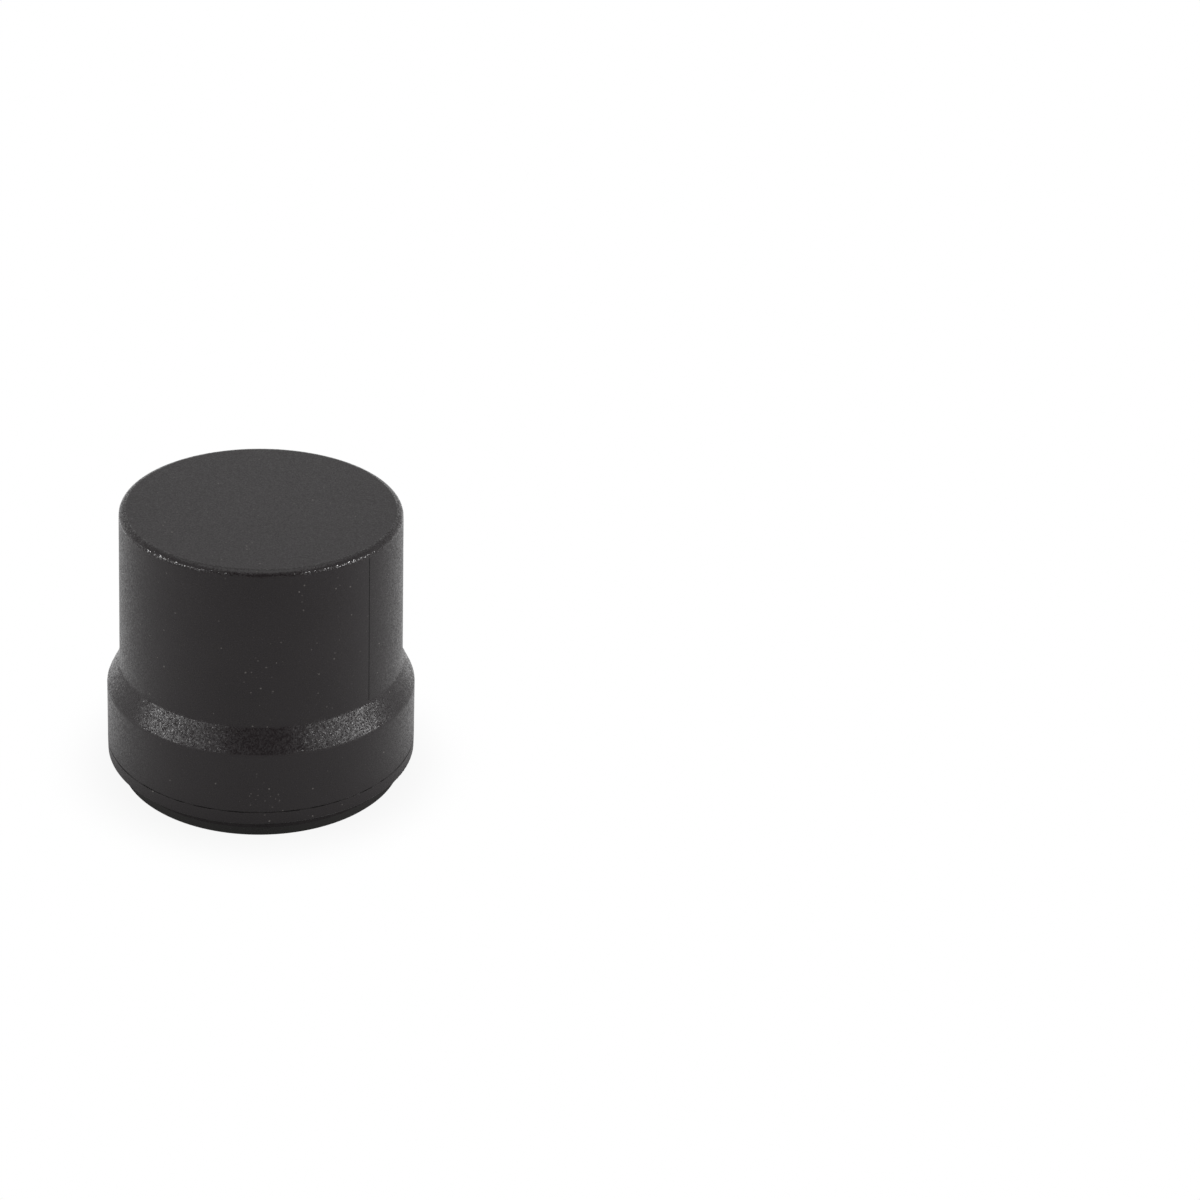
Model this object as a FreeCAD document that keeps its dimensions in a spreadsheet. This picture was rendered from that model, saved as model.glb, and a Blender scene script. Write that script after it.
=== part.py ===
# Screw-on GPS antenna: a drafted radome on a stepped base, with a coaxial plug recessed in the
# underside and a ceramic patch on its amplifier board inside. Millimetres. The origin is the centre
# of the gasket's lower face, +Z runs up through the roof.
import FreeCAD, Part

import math
import os

import Sketcher
from FreeCAD import Vector

doc = FreeCAD.newDocument("gps_antenna")

# Driving sizes: cell name, value, what it measures
SIZES = (
    ("overall_height", 45.2, "panel to roof"),
    ("rim_radius", 24.16, "housing at the joint between radome and base"),
    ("skirt_radius", 24.0, "radome at the foot of its shoulder"),
    ("wall_low_radius", 22.0, "upper wall at the top of the shoulder"),
    ("wall_top_radius", 21.46, "upper wall at the roof, smaller by the mould draft"),
    ("skirt_height", 9.9, "joint to the foot of the shoulder"),
    ("shoulder_rise", 4.06, "height of the cone shoulder"),
    ("top_edge_blend", 1.05, "rounding of the roof's edge"),
    ("shoulder_blend", 1.0, "rounding at both ends of the shoulder"),
    ("joint_chamfer", 0.15, "small bevel on each side of the joint"),
    ("radome_wall", 2.2, "radome wall"),
    ("roof_thickness", 2.4, "radome roof"),
    ("column_radius", 2.6, "screw column at its lower end"),
    ("column_draft", 0.6, "degrees that a column widens towards the roof"),
    ("column_clear", 0.4, "column to the base's spigot"),
    ("column_gap", 0.2, "column end to the base's floor"),
    ("column_web", 1.4, "web from a column to the wall"),
    ("foot_height", 3.3, "panel to the underside of the rim ring"),
    ("foot_radius", 22.13, "foot and gasket"),
    ("foot_wall", 3.1, "width of the foot's ring"),
    ("rim_thickness", 2.2, "height of the rim ring"),
    ("rim_blend", 0.35, "rounding of the rim ring's lower edge"),
    ("gasket_thickness", 1.5, "gasket below the foot"),
    ("tongue_width", 1.1, "gasket tongue in the foot"),
    ("tongue_height", 1.2, "gasket tongue in the foot"),
    ("gasket_bevel", 0.25, "bevel of the gasket's lower edge"),
    ("spigot_gap", 0.2, "spigot to the radome's bore"),
    ("spigot_wall", 2.2, "spigot wall"),
    ("spigot_height", 4.8, "joint to the spigot's top"),
    ("spigot_lead", 0.6, "lead-in bevel of the spigot"),
    ("floor_rise", 2.5, "joint to the top of the floor"),
    ("floor_thickness", 2.5, "floor of the base"),
    ("well_radius", 9.0, "connector well"),
    ("well_wall", 2.2, "wall of the turret over the well"),
    ("hub_rise", 3.7, "underside of the floor to the seat of the plug"),
    ("hub_thickness", 2.5, "hub that carries the plug"),
    ("collar_wall", 1.6, "collar round the mouth of the well"),
    ("collar_depth", 1.9, "collar below the floor"),
    ("rib_thickness", 1.4, "underside ribs"),
    ("rib_depth", 1.5, "underside ribs below the floor"),
    ("rib_count", 6, "underside ribs"),
    ("column_count", 3, "screw columns, pillars and their screws"),
    ("seal_section", 1.6, "housing seal before it is squeezed"),
    ("seal_squeeze", 0.25, "housing seal taken up by the bore"),
    ("seal_rise", 1.4, "joint to the seal groove"),
    ("seal_groove", 1.9, "height of the seal groove"),
    ("screw_radius", 1.25, "housing screw and its pilot in a column"),
    ("screw_grip", 7.2, "housing screw inside a column"),
    ("screw_head_radius", 2.5, "housing screw head"),
    ("screw_head_height", 1.9, "housing screw head"),
    ("screw_hole_gap", 0.3, "housing screw to its hole in the floor"),
    ("recess_depth", 1.1, "cross recess of both kinds of screw"),
    ("barrel_radius", 4.0, "plug barrel through the hub"),
    ("barrel_flat", 3.5, "axis to each flat of the barrel"),
    ("barrel_gap", 0.05, "barrel to the hub's keyed hole"),
    ("barrel_length", 7.0, "barrel above the plug's seat"),
    ("flange_radius", 6.4, "plug flange"),
    ("flange_thickness", 1.8, "plug flange"),
    ("coupling_flats", 8.0, "across the flats of the coupling"),
    ("coupling_length", 2.7, "hexagon below the flange"),
    ("hexagon_bevel", 30, "degrees of the bevel across a hexagon's corners"),
    ("cut_overrun", 0.1, "cuts beyond the surface that they open"),
    ("thread_radius", 3.175, "root of the coupling's inner thread, a quarter inch across"),
    ("contact_depth", 2.3, "mouth of the coupling to the contact plane"),
    ("contact_length", 2.0, "outer contact beyond its shoulder"),
    ("contact_radius", 2.295, "outer contact"),
    ("relief_radius", 3.4, "thread relief and seat of the mating seal"),
    ("relief_length", 0.6, "thread relief below the mating seal"),
    ("mating_seal_thickness", 0.6, "mating seal"),
    ("mating_seal_bore", 2.5, "mating seal on the plug body"),
    ("body_radius", 2.6, "plug body in the shell"),
    ("body_flange", 3.2, "rear flange of the plug body"),
    ("body_flange_thickness", 1.0, "rear flange of the plug body"),
    ("dielectric_radius", 2.05, "white insulator"),
    ("dielectric_length", 7.6, "white insulator"),
    ("pin_radius", 0.46, "centre contact, free end"),
    ("pin_shank_radius", 0.635, "centre contact in the insulator"),
    ("pin_reach", 1.9, "centre contact beyond the contact plane"),
    ("pin_tip_radius", 0.16, "centre contact's tip"),
    ("solder_barrel_radius", 1.5, "rear barrel of the plug body"),
    ("solder_barrel_length", 2.8, "rear barrel of the plug body"),
    ("plug_seal_width", 0.9, "seal under the flange"),
    ("plug_seal_depth", 0.8, "seal under the flange, squeezed"),
    ("plug_seal_inset", 0.75, "barrel to the seal under the flange"),
    ("washer_thickness", 0.8, "spring washer"),
    ("washer_radius", 6.2, "spring washer"),
    ("washer_slot", 1.0, "gap of the spring washer"),
    ("locknut_flats", 11.0, "across the flats of the locknut"),
    ("locknut_thickness", 2.2, "locknut"),
    ("cable_radius", 0.66, "inner cable"),
    ("cable_bore_gap", 0.09, "inner cable to the plug body's rear bore"),
    ("cable_bend", 3.96, "inner cable's bends at the board, three diameters"),
    ("cable_lead_bend", 3.96, "inner cable's first bend"),
    ("cable_reach", 15.4, "axis to the cable's rising run"),
    ("cable_spare", 0.16, "straight cable between two bends"),
    ("sleeve_wall", 0.35, "heat-shrink sleeve"),
    ("sleeve_length", 4.0, "heat-shrink sleeve"),
    ("sleeve_cone", 0.7, "heat-shrink sleeve's cone above the rear barrel"),
    ("board_gap", 1.66, "board to the radome's wall at the roof"),
    ("board_thickness", 1.2, "circuit board"),
    ("notch_gap", 0.5, "board's notch to a column"),
    ("patch_clear", 3.1, "patch to the roof"),
    ("patch_side", 18.0, "ceramic patch"),
    ("patch_thickness", 4.0, "ceramic patch"),
    ("patch_bevel", 0.3, "ceramic patch's upright edges"),
    ("pad_side", 17.0, "adhesive pad"),
    ("pad_thickness", 0.5, "adhesive pad"),
    ("feed_offset", 1.8, "axis to the feed pin"),
    ("feed_radius", 0.45, "feed pin"),
    ("feed_head_radius", 1.1, "feed pin's head"),
    ("feed_head_thickness", 0.3, "feed pin's head"),
    ("feed_reach", 0.8, "feed pin below the board"),
    ("pillar_inset", 3.0, "board's edge to a pillar's axis"),
    ("pillar_radius", 3.2, "board pillar at the floor"),
    ("pillar_draft", 1.3, "degrees that a pillar narrows upwards"),
    ("gusset_thickness", 1.6, "web from the turret to a pillar"),
    ("board_screw_radius", 1.0, "board screw and its pilot in a pillar"),
    ("board_screw_grip", 6.0, "board screw inside a pillar"),
    ("board_screw_head", 2.1, "board screw head"),
    ("board_screw_head_height", 1.5, "board screw head"),
    ("board_screw_gap", 0.15, "board screw to its hole in the board"),
    ("pilot_spare", 1.5, "pilot hole beyond each screw's tip"),
    ("shield_side", 13.0, "shield lid"),
    ("shield_height", 2.6, "shield lid"),
    ("shield_sheet", 0.2, "shield sheet"),
    ("shield_fence_height", 2.3, "shield frame"),
    ("shield_flange", 1.2, "shield frame's inner flange"),
    ("shield_skirt", 1.7, "skirt of the shield lid"),
    ("shield_offset", 2.4, "axis to the shield's centre"),
    ("shield_hole", 0.6, "holes in the shield lid"),
    ("shield_hole_pitch", 3.0, "holes in the shield lid"),
    ("socket_offset", 8.6, "axis to the board socket"),
    ("socket_side", 2.6, "board socket's foot"),
    ("socket_foot", 0.35, "board socket's foot"),
    ("socket_radius", 1.0, "board socket's sleeve"),
    ("socket_bore", 0.7, "board socket's sleeve"),
    ("socket_height", 1.3, "board socket"),
    ("micro_plug_radius", 1.5, "cable plug's cap"),
    ("micro_plug_height", 2.1, "cable plug's cap"),
    ("micro_neck_radius", 0.95, "cable plug's neck"),
    ("micro_neck_length", 2.8, "cable plug's axis to the end of its neck"),
    ("micro_axis", 1.6, "board to the cable's axis in its plug"),
    ("filter_side", 3.0, "band filter"),
    ("filter_height", 1.1, "band filter"),
    ("amplifier_width", 1.5, "amplifier chips"),
    ("amplifier_depth", 1.1, "amplifier chips"),
    ("amplifier_height", 0.6, "amplifier chips"),
    ("regulator_width", 1.6, "voltage regulator"),
    ("regulator_depth", 2.9, "voltage regulator"),
    ("regulator_height", 1.1, "voltage regulator"),
    ("chip_length", 1.0, "small resistors and capacitors"),
    ("chip_width", 0.5, "small resistors and capacitors"),
    ("chip_height", 0.5, "small resistors and capacitors"),
    ("inductor_length", 1.6, "supply inductor"),
    ("inductor_width", 0.8, "supply inductor"),
    ("chip_grid", 0.2, "placement grid of the parts under the shield"),
)

sheet = doc.addObject("Spreadsheet::Sheet", "sizes")
for row, (alias, value, meaning) in enumerate(SIZES, start=1):
    sheet.set(f"A{row}", str(value))
    sheet.setAlias(f"A{row}", alias)
    sheet.set(f"B{row}", meaning)
doc.recompute()

# Heights and radii that follow from the driving sizes, as expressions over the sheet
JOINT = "(sizes.foot_height + sizes.rim_thickness)"
SHOULDER_LOW = f"({JOINT} + sizes.skirt_height)"
SHOULDER_HIGH = f"({SHOULDER_LOW} + sizes.shoulder_rise)"
CEILING = "(sizes.overall_height - sizes.roof_thickness)"
SKIRT_BORE = "(sizes.skirt_radius - sizes.radome_wall)"
WALL_LOW_BORE = "(sizes.wall_low_radius - sizes.radome_wall)"
WALL_TOP_BORE = "(sizes.wall_top_radius - sizes.radome_wall)"
SHOULDER_SLOPE = "atan((sizes.skirt_radius - sizes.wall_low_radius) / sizes.shoulder_rise)"
INNER_DROP = f"(sizes.radome_wall * tan({SHOULDER_SLOPE} / 2))"

SPIGOT_RADIUS = f"({SKIRT_BORE} - sizes.spigot_gap)"
SPIGOT_BORE = f"({SPIGOT_RADIUS} - sizes.spigot_wall)"
SPIGOT_TOP = f"({JOINT} + sizes.spigot_height)"
FLOOR_TOP = f"({JOINT} + sizes.floor_rise)"
FLOOR_LOW = f"({FLOOR_TOP} - sizes.floor_thickness)"
FOOT_BORE = "(sizes.foot_radius - sizes.foot_wall)"
TONGUE_IN = "(sizes.foot_radius - sizes.foot_wall / 2 - sizes.tongue_width / 2)"
TONGUE_OUT = f"({TONGUE_IN} + sizes.tongue_width)"
TONGUE_TOP = "(sizes.gasket_thickness + sizes.tongue_height)"
HUB_LOW = f"({FLOOR_LOW} + sizes.hub_rise)"
HUB_TOP = f"({HUB_LOW} + sizes.hub_thickness)"
TURRET_RADIUS = "(sizes.well_radius + sizes.well_wall)"
COLLAR_RADIUS = "(sizes.well_radius + sizes.collar_wall)"
SEAL_DEPTH = "(sizes.seal_section - sizes.seal_squeeze)"
SEAL_BORE = f"({SKIRT_BORE} - {SEAL_DEPTH})"
SEAL_LOW = f"({JOINT} + sizes.seal_rise)"
SEAL_HIGH = f"({SEAL_LOW} + sizes.seal_groove)"

COLUMN_LOW = f"({FLOOR_TOP} + sizes.column_gap)"
COLUMN_CIRCLE = f"({SPIGOT_BORE} - sizes.column_radius - sizes.column_clear)"

BARREL_TOP = f"({HUB_LOW} + sizes.barrel_length)"
FLANGE_LOW = f"({HUB_LOW} - sizes.flange_thickness)"
MOUTH = f"({FLANGE_LOW} - sizes.coupling_length)"
CONTACT = f"({MOUTH} + sizes.contact_depth)"
CONTACT_SHOULDER = f"({CONTACT} + sizes.contact_length)"
SEAL_SEAT = f"({CONTACT_SHOULDER} + sizes.mating_seal_thickness)"
BODY_FLANGE_LOW = f"({BARREL_TOP} - sizes.body_flange_thickness)"
DIELECTRIC_TOP = f"({CONTACT} + sizes.dielectric_length)"
SOLDER_TOP = f"({BARREL_TOP} + sizes.solder_barrel_length)"
WASHER_TOP = f"({HUB_TOP} + sizes.washer_thickness)"
SLEEVE_TOP = f"({BARREL_TOP} + sizes.sleeve_length)"
PLUG_SEAL_IN = "(sizes.barrel_radius + sizes.plug_seal_inset)"
PLUG_SEAL_OUT = f"({PLUG_SEAL_IN} + sizes.plug_seal_width)"
PLUG_SEAL_LOW = f"({HUB_LOW} - sizes.plug_seal_depth)"

PATCH_TOP = f"({CEILING} - sizes.patch_clear)"
PATCH_LOW = f"({PATCH_TOP} - sizes.patch_thickness)"
BOARD_TOP = f"({PATCH_LOW} - sizes.pad_thickness)"
BOARD_LOW = f"({BOARD_TOP} - sizes.board_thickness)"
BOARD_RADIUS = f"({WALL_TOP_BORE} - sizes.board_gap)"
PILLAR_CIRCLE = f"({BOARD_RADIUS} - sizes.pillar_inset)"
MICRO_AXIS = f"({BOARD_LOW} - sizes.micro_axis)"
NECK_END = "(sizes.socket_offset + sizes.micro_neck_length)"
COLUMN_AT_BOARD = (
    f"(sizes.column_radius + ({BOARD_TOP} - {COLUMN_LOW}) * tan(sizes.column_draft))"
)

# Proportions that hold at any size: a squeezed ring's corners as a share of its depth, and a pan
# head's flat, crown, brim, point and cross recess as shares of its radius and height
RING_CORNER = 0.4
HEAD_FLAT, HEAD_CROWN = 0.62, 0.92
CROWN_HEIGHT, BRIM_HEIGHT = 0.8, 0.45
POINT_RADIUS, POINT_LENGTH = 0.3, 0.8
SLOT_REACH, SLOT_WIDTH = 0.6, 0.14

# Edges are found by where they should lie, to within this distance
FOUND_WITHIN = 1e-6


def number(expression):
    """The present value of an expression over the sheet."""
    return float(sheet.evalExpression(expression))


def new_body(name):
    """An empty body whose label names the sub-part."""
    body = doc.addObject("PartDesign::Body", name)
    body.AllowCompound = True
    return body


def origin_part(body, role):
    """One of the body's own origin planes or axes, by role."""
    return next(part for part in body.Origin.OriginFeatures if part.Role == role)


def pin_point(sketch, index, position, place):
    """Ties one sketch point to a pair of expressions measured from the sketch's origin."""
    for kind, axis, expression in zip(("DistanceX", "DistanceY"), (-2, -1), place):
        if expression == "0":
            sketch.addConstraint(Sketcher.Constraint("PointOnObject", index, position, axis))
            continue
        constraint = Sketcher.Constraint(kind, -1, 1, index, position, number(expression))
        row = sketch.addConstraint(constraint)
        sketch.setExpression(f"Constraints[{row}]", expression)


def draw(body, name, plane, loops=(), circles=(), height=None):
    """A sketch of closed straight-sided loops and of circles (centre x, centre y, radius)."""
    sketch = body.newObject("Sketcher::SketchObject", name)
    sketch.AttachmentSupport = [(origin_part(body, plane), "")]
    sketch.MapMode = "FlatFace"
    if height is not None:
        sketch.setExpression("AttachmentOffset.Base.z", height)
    for corners in loops:
        first = sketch.GeometryCount
        points = [Vector(number(across), number(up), 0) for across, up in corners]
        for start, end in zip(points, points[1:] + points[:1]):
            sketch.addGeometry(Part.LineSegment(start, end), False)
        for side, place in enumerate(corners):
            after = first + (side + 1) % len(corners)
            sketch.addConstraint(Sketcher.Constraint("Coincident", first + side, 2, after, 1))
            pin_point(sketch, first + side, 1, place)
    for across, up, radius in circles:
        centre = Vector(number(across), number(up), 0)
        index = sketch.addGeometry(Part.Circle(centre, Vector(0, 0, 1), number(radius)), False)
        pin_point(sketch, index, 3, (across, up))
        row = sketch.addConstraint(Sketcher.Constraint("Radius", index, number(radius)))
        sketch.setExpression(f"Constraints[{row}]", radius)
    return sketch


def turn(body, name, corners, cut=False):
    """A revolution, or a groove, of a radius-and-height outline about the upright axis."""
    kind = "Groove" if cut else "Revolution"
    feature = body.newObject(f"PartDesign::{kind}", name)
    feature.Profile = draw(body, f"{name}_outline", "XZ_Plane", [corners])
    feature.ReferenceAxis = (origin_part(body, "Z_Axis"), [""])
    feature.Angle = 360
    return feature


def raise_from(body, name, sketch, length, draft=None, middle=False):
    """A pad of a sketch, its sides drafted where asked, or grown to both sides of its plane."""
    feature = body.newObject("PartDesign::Pad", name)
    feature.Profile = sketch
    feature.setExpression("Length", length)
    if draft is not None:
        feature.setExpression("TaperAngle", draft)
    if middle:
        feature.SideType = "Symmetric"
    return feature


def sink(body, name, sketch, depth, upwards=False, middle=False):
    """A pocket of a sketch, cut down from its plane or upwards into what lies above it."""
    feature = body.newObject("PartDesign::Pocket", name)
    feature.Profile = sketch
    feature.setExpression("Length", depth)
    feature.Reversed = upwards
    if middle:
        feature.SideType = "Symmetric"
    return feature


def spread(body, name, features, count):
    """Copies of features evenly round the upright axis."""
    pattern = body.newObject("PartDesign::PolarPattern", name)
    pattern.Originals = features
    pattern.Axis = (origin_part(body, "Z_Axis"), [""])
    pattern.Angle = 360
    pattern.setExpression("Occurrences", count)
    body.Tip = pattern
    return pattern


def ring_edges(shape, places):
    """Names of the full circles about the upright axis at each (radius, height)."""
    wanted = [(number(radius), number(height)) for radius, height in places]
    names = []
    for index, edge in enumerate(shape.Edges, start=1):
        curve = edge.Curve
        if not isinstance(curve, Part.Circle):
            continue
        for radius, height in wanted:
            off_centre = (curve.Center - Vector(0, 0, height)).Length
            if off_centre < FOUND_WITHIN and abs(curve.Radius - radius) < FOUND_WITHIN:
                names.append(f"Edge{index}")
    return names


def soften(body, name, kind, size, places):
    """A fillet or a chamfer of one size on the circles at the given places."""
    doc.recompute()
    base = body.Tip
    feature = body.newObject(f"PartDesign::{kind}", name)
    feature.Base = (base, ring_edges(base.Shape, places))
    feature.setExpression("Radius" if kind == "Fillet" else "Size", size)
    return feature


def hexagon(flats):
    """Corners of a hexagon by its width across flats, flats facing along Y."""
    corner = f"({flats} / sqrt(3))"
    half = f"({flats} / 2)"
    return [
        (corner, "0"),
        (f"({corner} / 2)", half),
        (f"(-{corner} / 2)", half),
        (f"-{corner}", "0"),
        (f"(-{corner} / 2)", f"-{half}"),
        (f"({corner} / 2)", f"-{half}"),
    ]


def rectangle(low_x, high_x, low_y, high_y):
    """Corners of an upright rectangle between four expressions."""
    return [(low_x, low_y), (high_x, low_y), (high_x, high_y), (low_x, high_y)]


def square(side, centre_y="0"):
    """Corners of a square by its side, centred on the Y axis."""
    half = f"({side} / 2)"
    return rectangle(f"-{half}", half, f"({centre_y} - {half})", f"({centre_y} + {half})")


def build_radome():
    """The upper housing, one hollow moulding with three screw columns down from its roof."""
    body = new_body("radome")
    turn(
        body,
        "radome_form",
        [
            ("0", JOINT),
            ("sizes.rim_radius", JOINT),
            ("sizes.skirt_radius", SHOULDER_LOW),
            ("sizes.wall_low_radius", SHOULDER_HIGH),
            ("sizes.wall_top_radius", "sizes.overall_height"),
            ("0", "sizes.overall_height"),
        ],
    )
    shoulder = [("sizes.skirt_radius", SHOULDER_LOW), ("sizes.wall_low_radius", SHOULDER_HIGH)]
    soften(body, "shoulder_rounding", "Fillet", "sizes.shoulder_blend", shoulder)
    top_edge = [("sizes.wall_top_radius", "sizes.overall_height")]
    soften(body, "top_edge_rounding", "Fillet", "sizes.top_edge_blend", top_edge)
    rim = [("sizes.rim_radius", JOINT)]
    soften(body, "rim_bevel", "Chamfer", "sizes.joint_chamfer", rim)
    turn(
        body,
        "radome_hollow",
        [
            ("0", JOINT),
            (SKIRT_BORE, JOINT),
            (SKIRT_BORE, f"({SHOULDER_LOW} - {INNER_DROP})"),
            (WALL_LOW_BORE, f"({SHOULDER_HIGH} - {INNER_DROP})"),
            (WALL_TOP_BORE, CEILING),
            ("0", CEILING),
        ],
        cut=True,
    )

    # A column widens upwards so that it leaves the mould, and ends inside the roof
    half_roof = "(sizes.roof_thickness / 2)"
    half_wall = "(sizes.radome_wall / 2)"
    circle = [(COLUMN_CIRCLE, "0", "sizes.column_radius")]
    foot = draw(body, "column_circle", "XY_Plane", circles=circle, height=COLUMN_LOW)
    length = f"{CEILING} - {COLUMN_LOW} + {half_roof}"
    column = raise_from(body, "column", foot, length, draft="sizes.column_draft")
    web_outline = [
        (COLUMN_CIRCLE, f"({SPIGOT_TOP} + sizes.column_clear)"),
        (f"({SKIRT_BORE} + {half_wall})", f"({SPIGOT_TOP} + sizes.column_clear)"),
        (f"({SKIRT_BORE} + {half_wall})", SHOULDER_LOW),
        (f"({WALL_LOW_BORE} + {half_wall})", SHOULDER_HIGH),
        (f"({WALL_TOP_BORE} + {half_wall})", f"({CEILING} + {half_roof})"),
        (COLUMN_CIRCLE, f"({CEILING} + {half_roof})"),
    ]
    web_plane = draw(body, "web_outline", "XZ_Plane", [web_outline])
    web = raise_from(body, "column_web", web_plane, "sizes.column_web", middle=True)
    pilot_circle = [(COLUMN_CIRCLE, "0", "sizes.screw_radius")]
    pilot_foot = draw(body, "pilot_circle", "XY_Plane", circles=pilot_circle, height=COLUMN_LOW)
    depth = "sizes.screw_grip + sizes.pilot_spare"
    pilot = sink(body, "screw_pilot", pilot_foot, depth, upwards=True)
    spread(body, "columns", [column, web, pilot], "sizes.column_count")
    return body


def build_base():
    """The lower housing: rim ring, foot, spigot, connector well, ribs and board pillars."""
    body = new_body("base")
    turn(
        body,
        "base_form",
        [
            ("0", HUB_LOW),
            ("sizes.well_radius", HUB_LOW),
            ("sizes.well_radius", f"({FLOOR_LOW} - sizes.collar_depth)"),
            (COLLAR_RADIUS, f"({FLOOR_LOW} - sizes.collar_depth)"),
            (COLLAR_RADIUS, FLOOR_LOW),
            (FOOT_BORE, FLOOR_LOW),
            (FOOT_BORE, "sizes.gasket_thickness"),
            ("sizes.foot_radius", "sizes.gasket_thickness"),
            ("sizes.foot_radius", "sizes.foot_height"),
            ("sizes.rim_radius", "sizes.foot_height"),
            ("sizes.rim_radius", JOINT),
            (SPIGOT_RADIUS, JOINT),
            (SPIGOT_RADIUS, SPIGOT_TOP),
            (SPIGOT_BORE, SPIGOT_TOP),
            (SPIGOT_BORE, FLOOR_TOP),
            (TURRET_RADIUS, FLOOR_TOP),
            (TURRET_RADIUS, HUB_TOP),
            ("0", HUB_TOP),
        ],
    )
    rim_low, rim_high = ("sizes.rim_radius", "sizes.foot_height"), ("sizes.rim_radius", JOINT)
    soften(body, "rim_rounding", "Fillet", "sizes.rim_blend", [rim_low])
    soften(body, "rim_bevel", "Chamfer", "sizes.joint_chamfer", [rim_high])
    soften(body, "spigot_lead_in", "Chamfer", "sizes.spigot_lead", [(SPIGOT_RADIUS, SPIGOT_TOP)])
    seal_groove = rectangle(SEAL_BORE, SPIGOT_RADIUS, SEAL_LOW, SEAL_HIGH)
    turn(body, "seal_groove", seal_groove, cut=True)
    tongue = rectangle(TONGUE_IN, TONGUE_OUT, "sizes.gasket_thickness", TONGUE_TOP)
    turn(body, "gasket_groove", tongue, cut=True)

    # The hole for the plug is round with two flats, so that the plug can't turn in the hub
    keyed_radius = "(sizes.barrel_radius + sizes.barrel_gap)"
    keyed_flat = "(sizes.barrel_flat + sizes.barrel_gap)"
    keyed = draw_keyed_hole(body, "plug_hole_outline", keyed_radius, keyed_flat, HUB_LOW)
    sink(body, "plug_hole", keyed, "sizes.hub_thickness", upwards=True)

    hole = [(COLUMN_CIRCLE, "0", "(sizes.screw_radius + sizes.screw_hole_gap)")]
    hole_plane = draw(body, "screw_hole_circle", "XY_Plane", circles=hole, height=FLOOR_LOW)
    screw_hole = sink(body, "screw_hole", hole_plane, "sizes.floor_thickness", upwards=True)
    spread(body, "screw_holes", [screw_hole], "sizes.column_count")

    # Ribs run from the collar to the foot, between the screw heads
    rib_outline = rectangle(
        f"({COLLAR_RADIUS} - sizes.collar_wall / 2)",
        f"({FOOT_BORE} + sizes.foot_wall / 4)",
        f"({FLOOR_LOW} - sizes.rib_depth)",
        f"({FLOOR_LOW} + sizes.floor_thickness / 2)",
    )
    rib_plane = draw(body, "rib_outline", "YZ_Plane", [rib_outline])
    rib = raise_from(body, "rib", rib_plane, "sizes.rib_thickness", middle=True)
    spread(body, "ribs", [rib], "sizes.rib_count")

    # Pillars stand between the columns, each tied to the turret by a sloping web
    pillar_x = f"-{PILLAR_CIRCLE}"
    half_floor = "(sizes.floor_thickness / 2)"
    pillar_foot = [(pillar_x, "0", "sizes.pillar_radius")]
    foot = draw(body, "pillar_circle", "XY_Plane", circles=pillar_foot, height=FLOOR_TOP)
    pillar_height = f"{BOARD_LOW} - {FLOOR_TOP}"
    pillar = raise_from(body, "pillar", foot, pillar_height, draft="-sizes.pillar_draft")
    gusset_outline = [
        (pillar_x, f"({FLOOR_TOP} - {half_floor})"),
        (f"(-{TURRET_RADIUS} + sizes.well_wall / 2)", f"({FLOOR_TOP} - {half_floor})"),
        (f"(-{TURRET_RADIUS} + sizes.well_wall / 2)", HUB_TOP),
        (f"-{TURRET_RADIUS}", HUB_TOP),
        (pillar_x, f"({HUB_TOP} + {PILLAR_CIRCLE} - {TURRET_RADIUS})"),
    ]
    gusset_plane = draw(body, "gusset_outline", "XZ_Plane", [gusset_outline])
    gusset = raise_from(body, "gusset", gusset_plane, "sizes.gusset_thickness", middle=True)
    pilot_top = [(pillar_x, "0", "sizes.board_screw_radius")]
    pilot_plane = draw(body, "board_pilot_circle", "XY_Plane", circles=pilot_top, height=BOARD_LOW)
    pilot = sink(body, "board_pilot", pilot_plane, "sizes.board_screw_grip + sizes.pilot_spare")
    spread(body, "pillars", [pillar, gusset, pilot], "sizes.column_count")
    return body


def draw_keyed_hole(body, name, radius, flat, height):
    """A round outline with two flats that face along X: two lines joined by two arcs."""
    sketch = body.newObject("Sketcher::SketchObject", name)
    sketch.AttachmentSupport = [(origin_part(body, "XY_Plane"), "")]
    sketch.MapMode = "FlatFace"
    sketch.setExpression("AttachmentOffset.Base.z", height)
    reach, side = number(radius), number(flat)
    rise = math.sqrt(reach**2 - side**2)
    signs = ((1, -1), (1, 1), (-1, 1), (-1, -1))
    corners = [Vector(across * side, along * rise, 0) for across, along in signs]
    sketch.addGeometry(Part.LineSegment(corners[0], corners[1]), False)
    sketch.addGeometry(Part.Arc(corners[1], Vector(0, reach, 0), corners[2]), False)
    sketch.addGeometry(Part.LineSegment(corners[2], corners[3]), False)
    sketch.addGeometry(Part.Arc(corners[3], Vector(0, -reach, 0), corners[0]), False)
    for line in (0, 2):
        sketch.addConstraint(Sketcher.Constraint("Vertical", line))
    for arc in (1, 3):
        sketch.addConstraint(Sketcher.Constraint("Coincident", arc, 3, -1, 1))
        row = sketch.addConstraint(Sketcher.Constraint("Radius", arc, reach))
        sketch.setExpression(f"Constraints[{row}]", radius)
    for line, expression in ((0, flat), (2, f"-{flat}")):
        constraint = Sketcher.Constraint("DistanceX", -1, 1, line, 1, number(expression))
        row = sketch.addConstraint(constraint)
        sketch.setExpression(f"Constraints[{row}]", expression)
    for joined in ((0, 2, 1, 1), (1, 2, 2, 1), (2, 2, 3, 1), (3, 2, 0, 1)):
        sketch.addConstraint(Sketcher.Constraint("Coincident", *joined))
    return sketch


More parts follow.
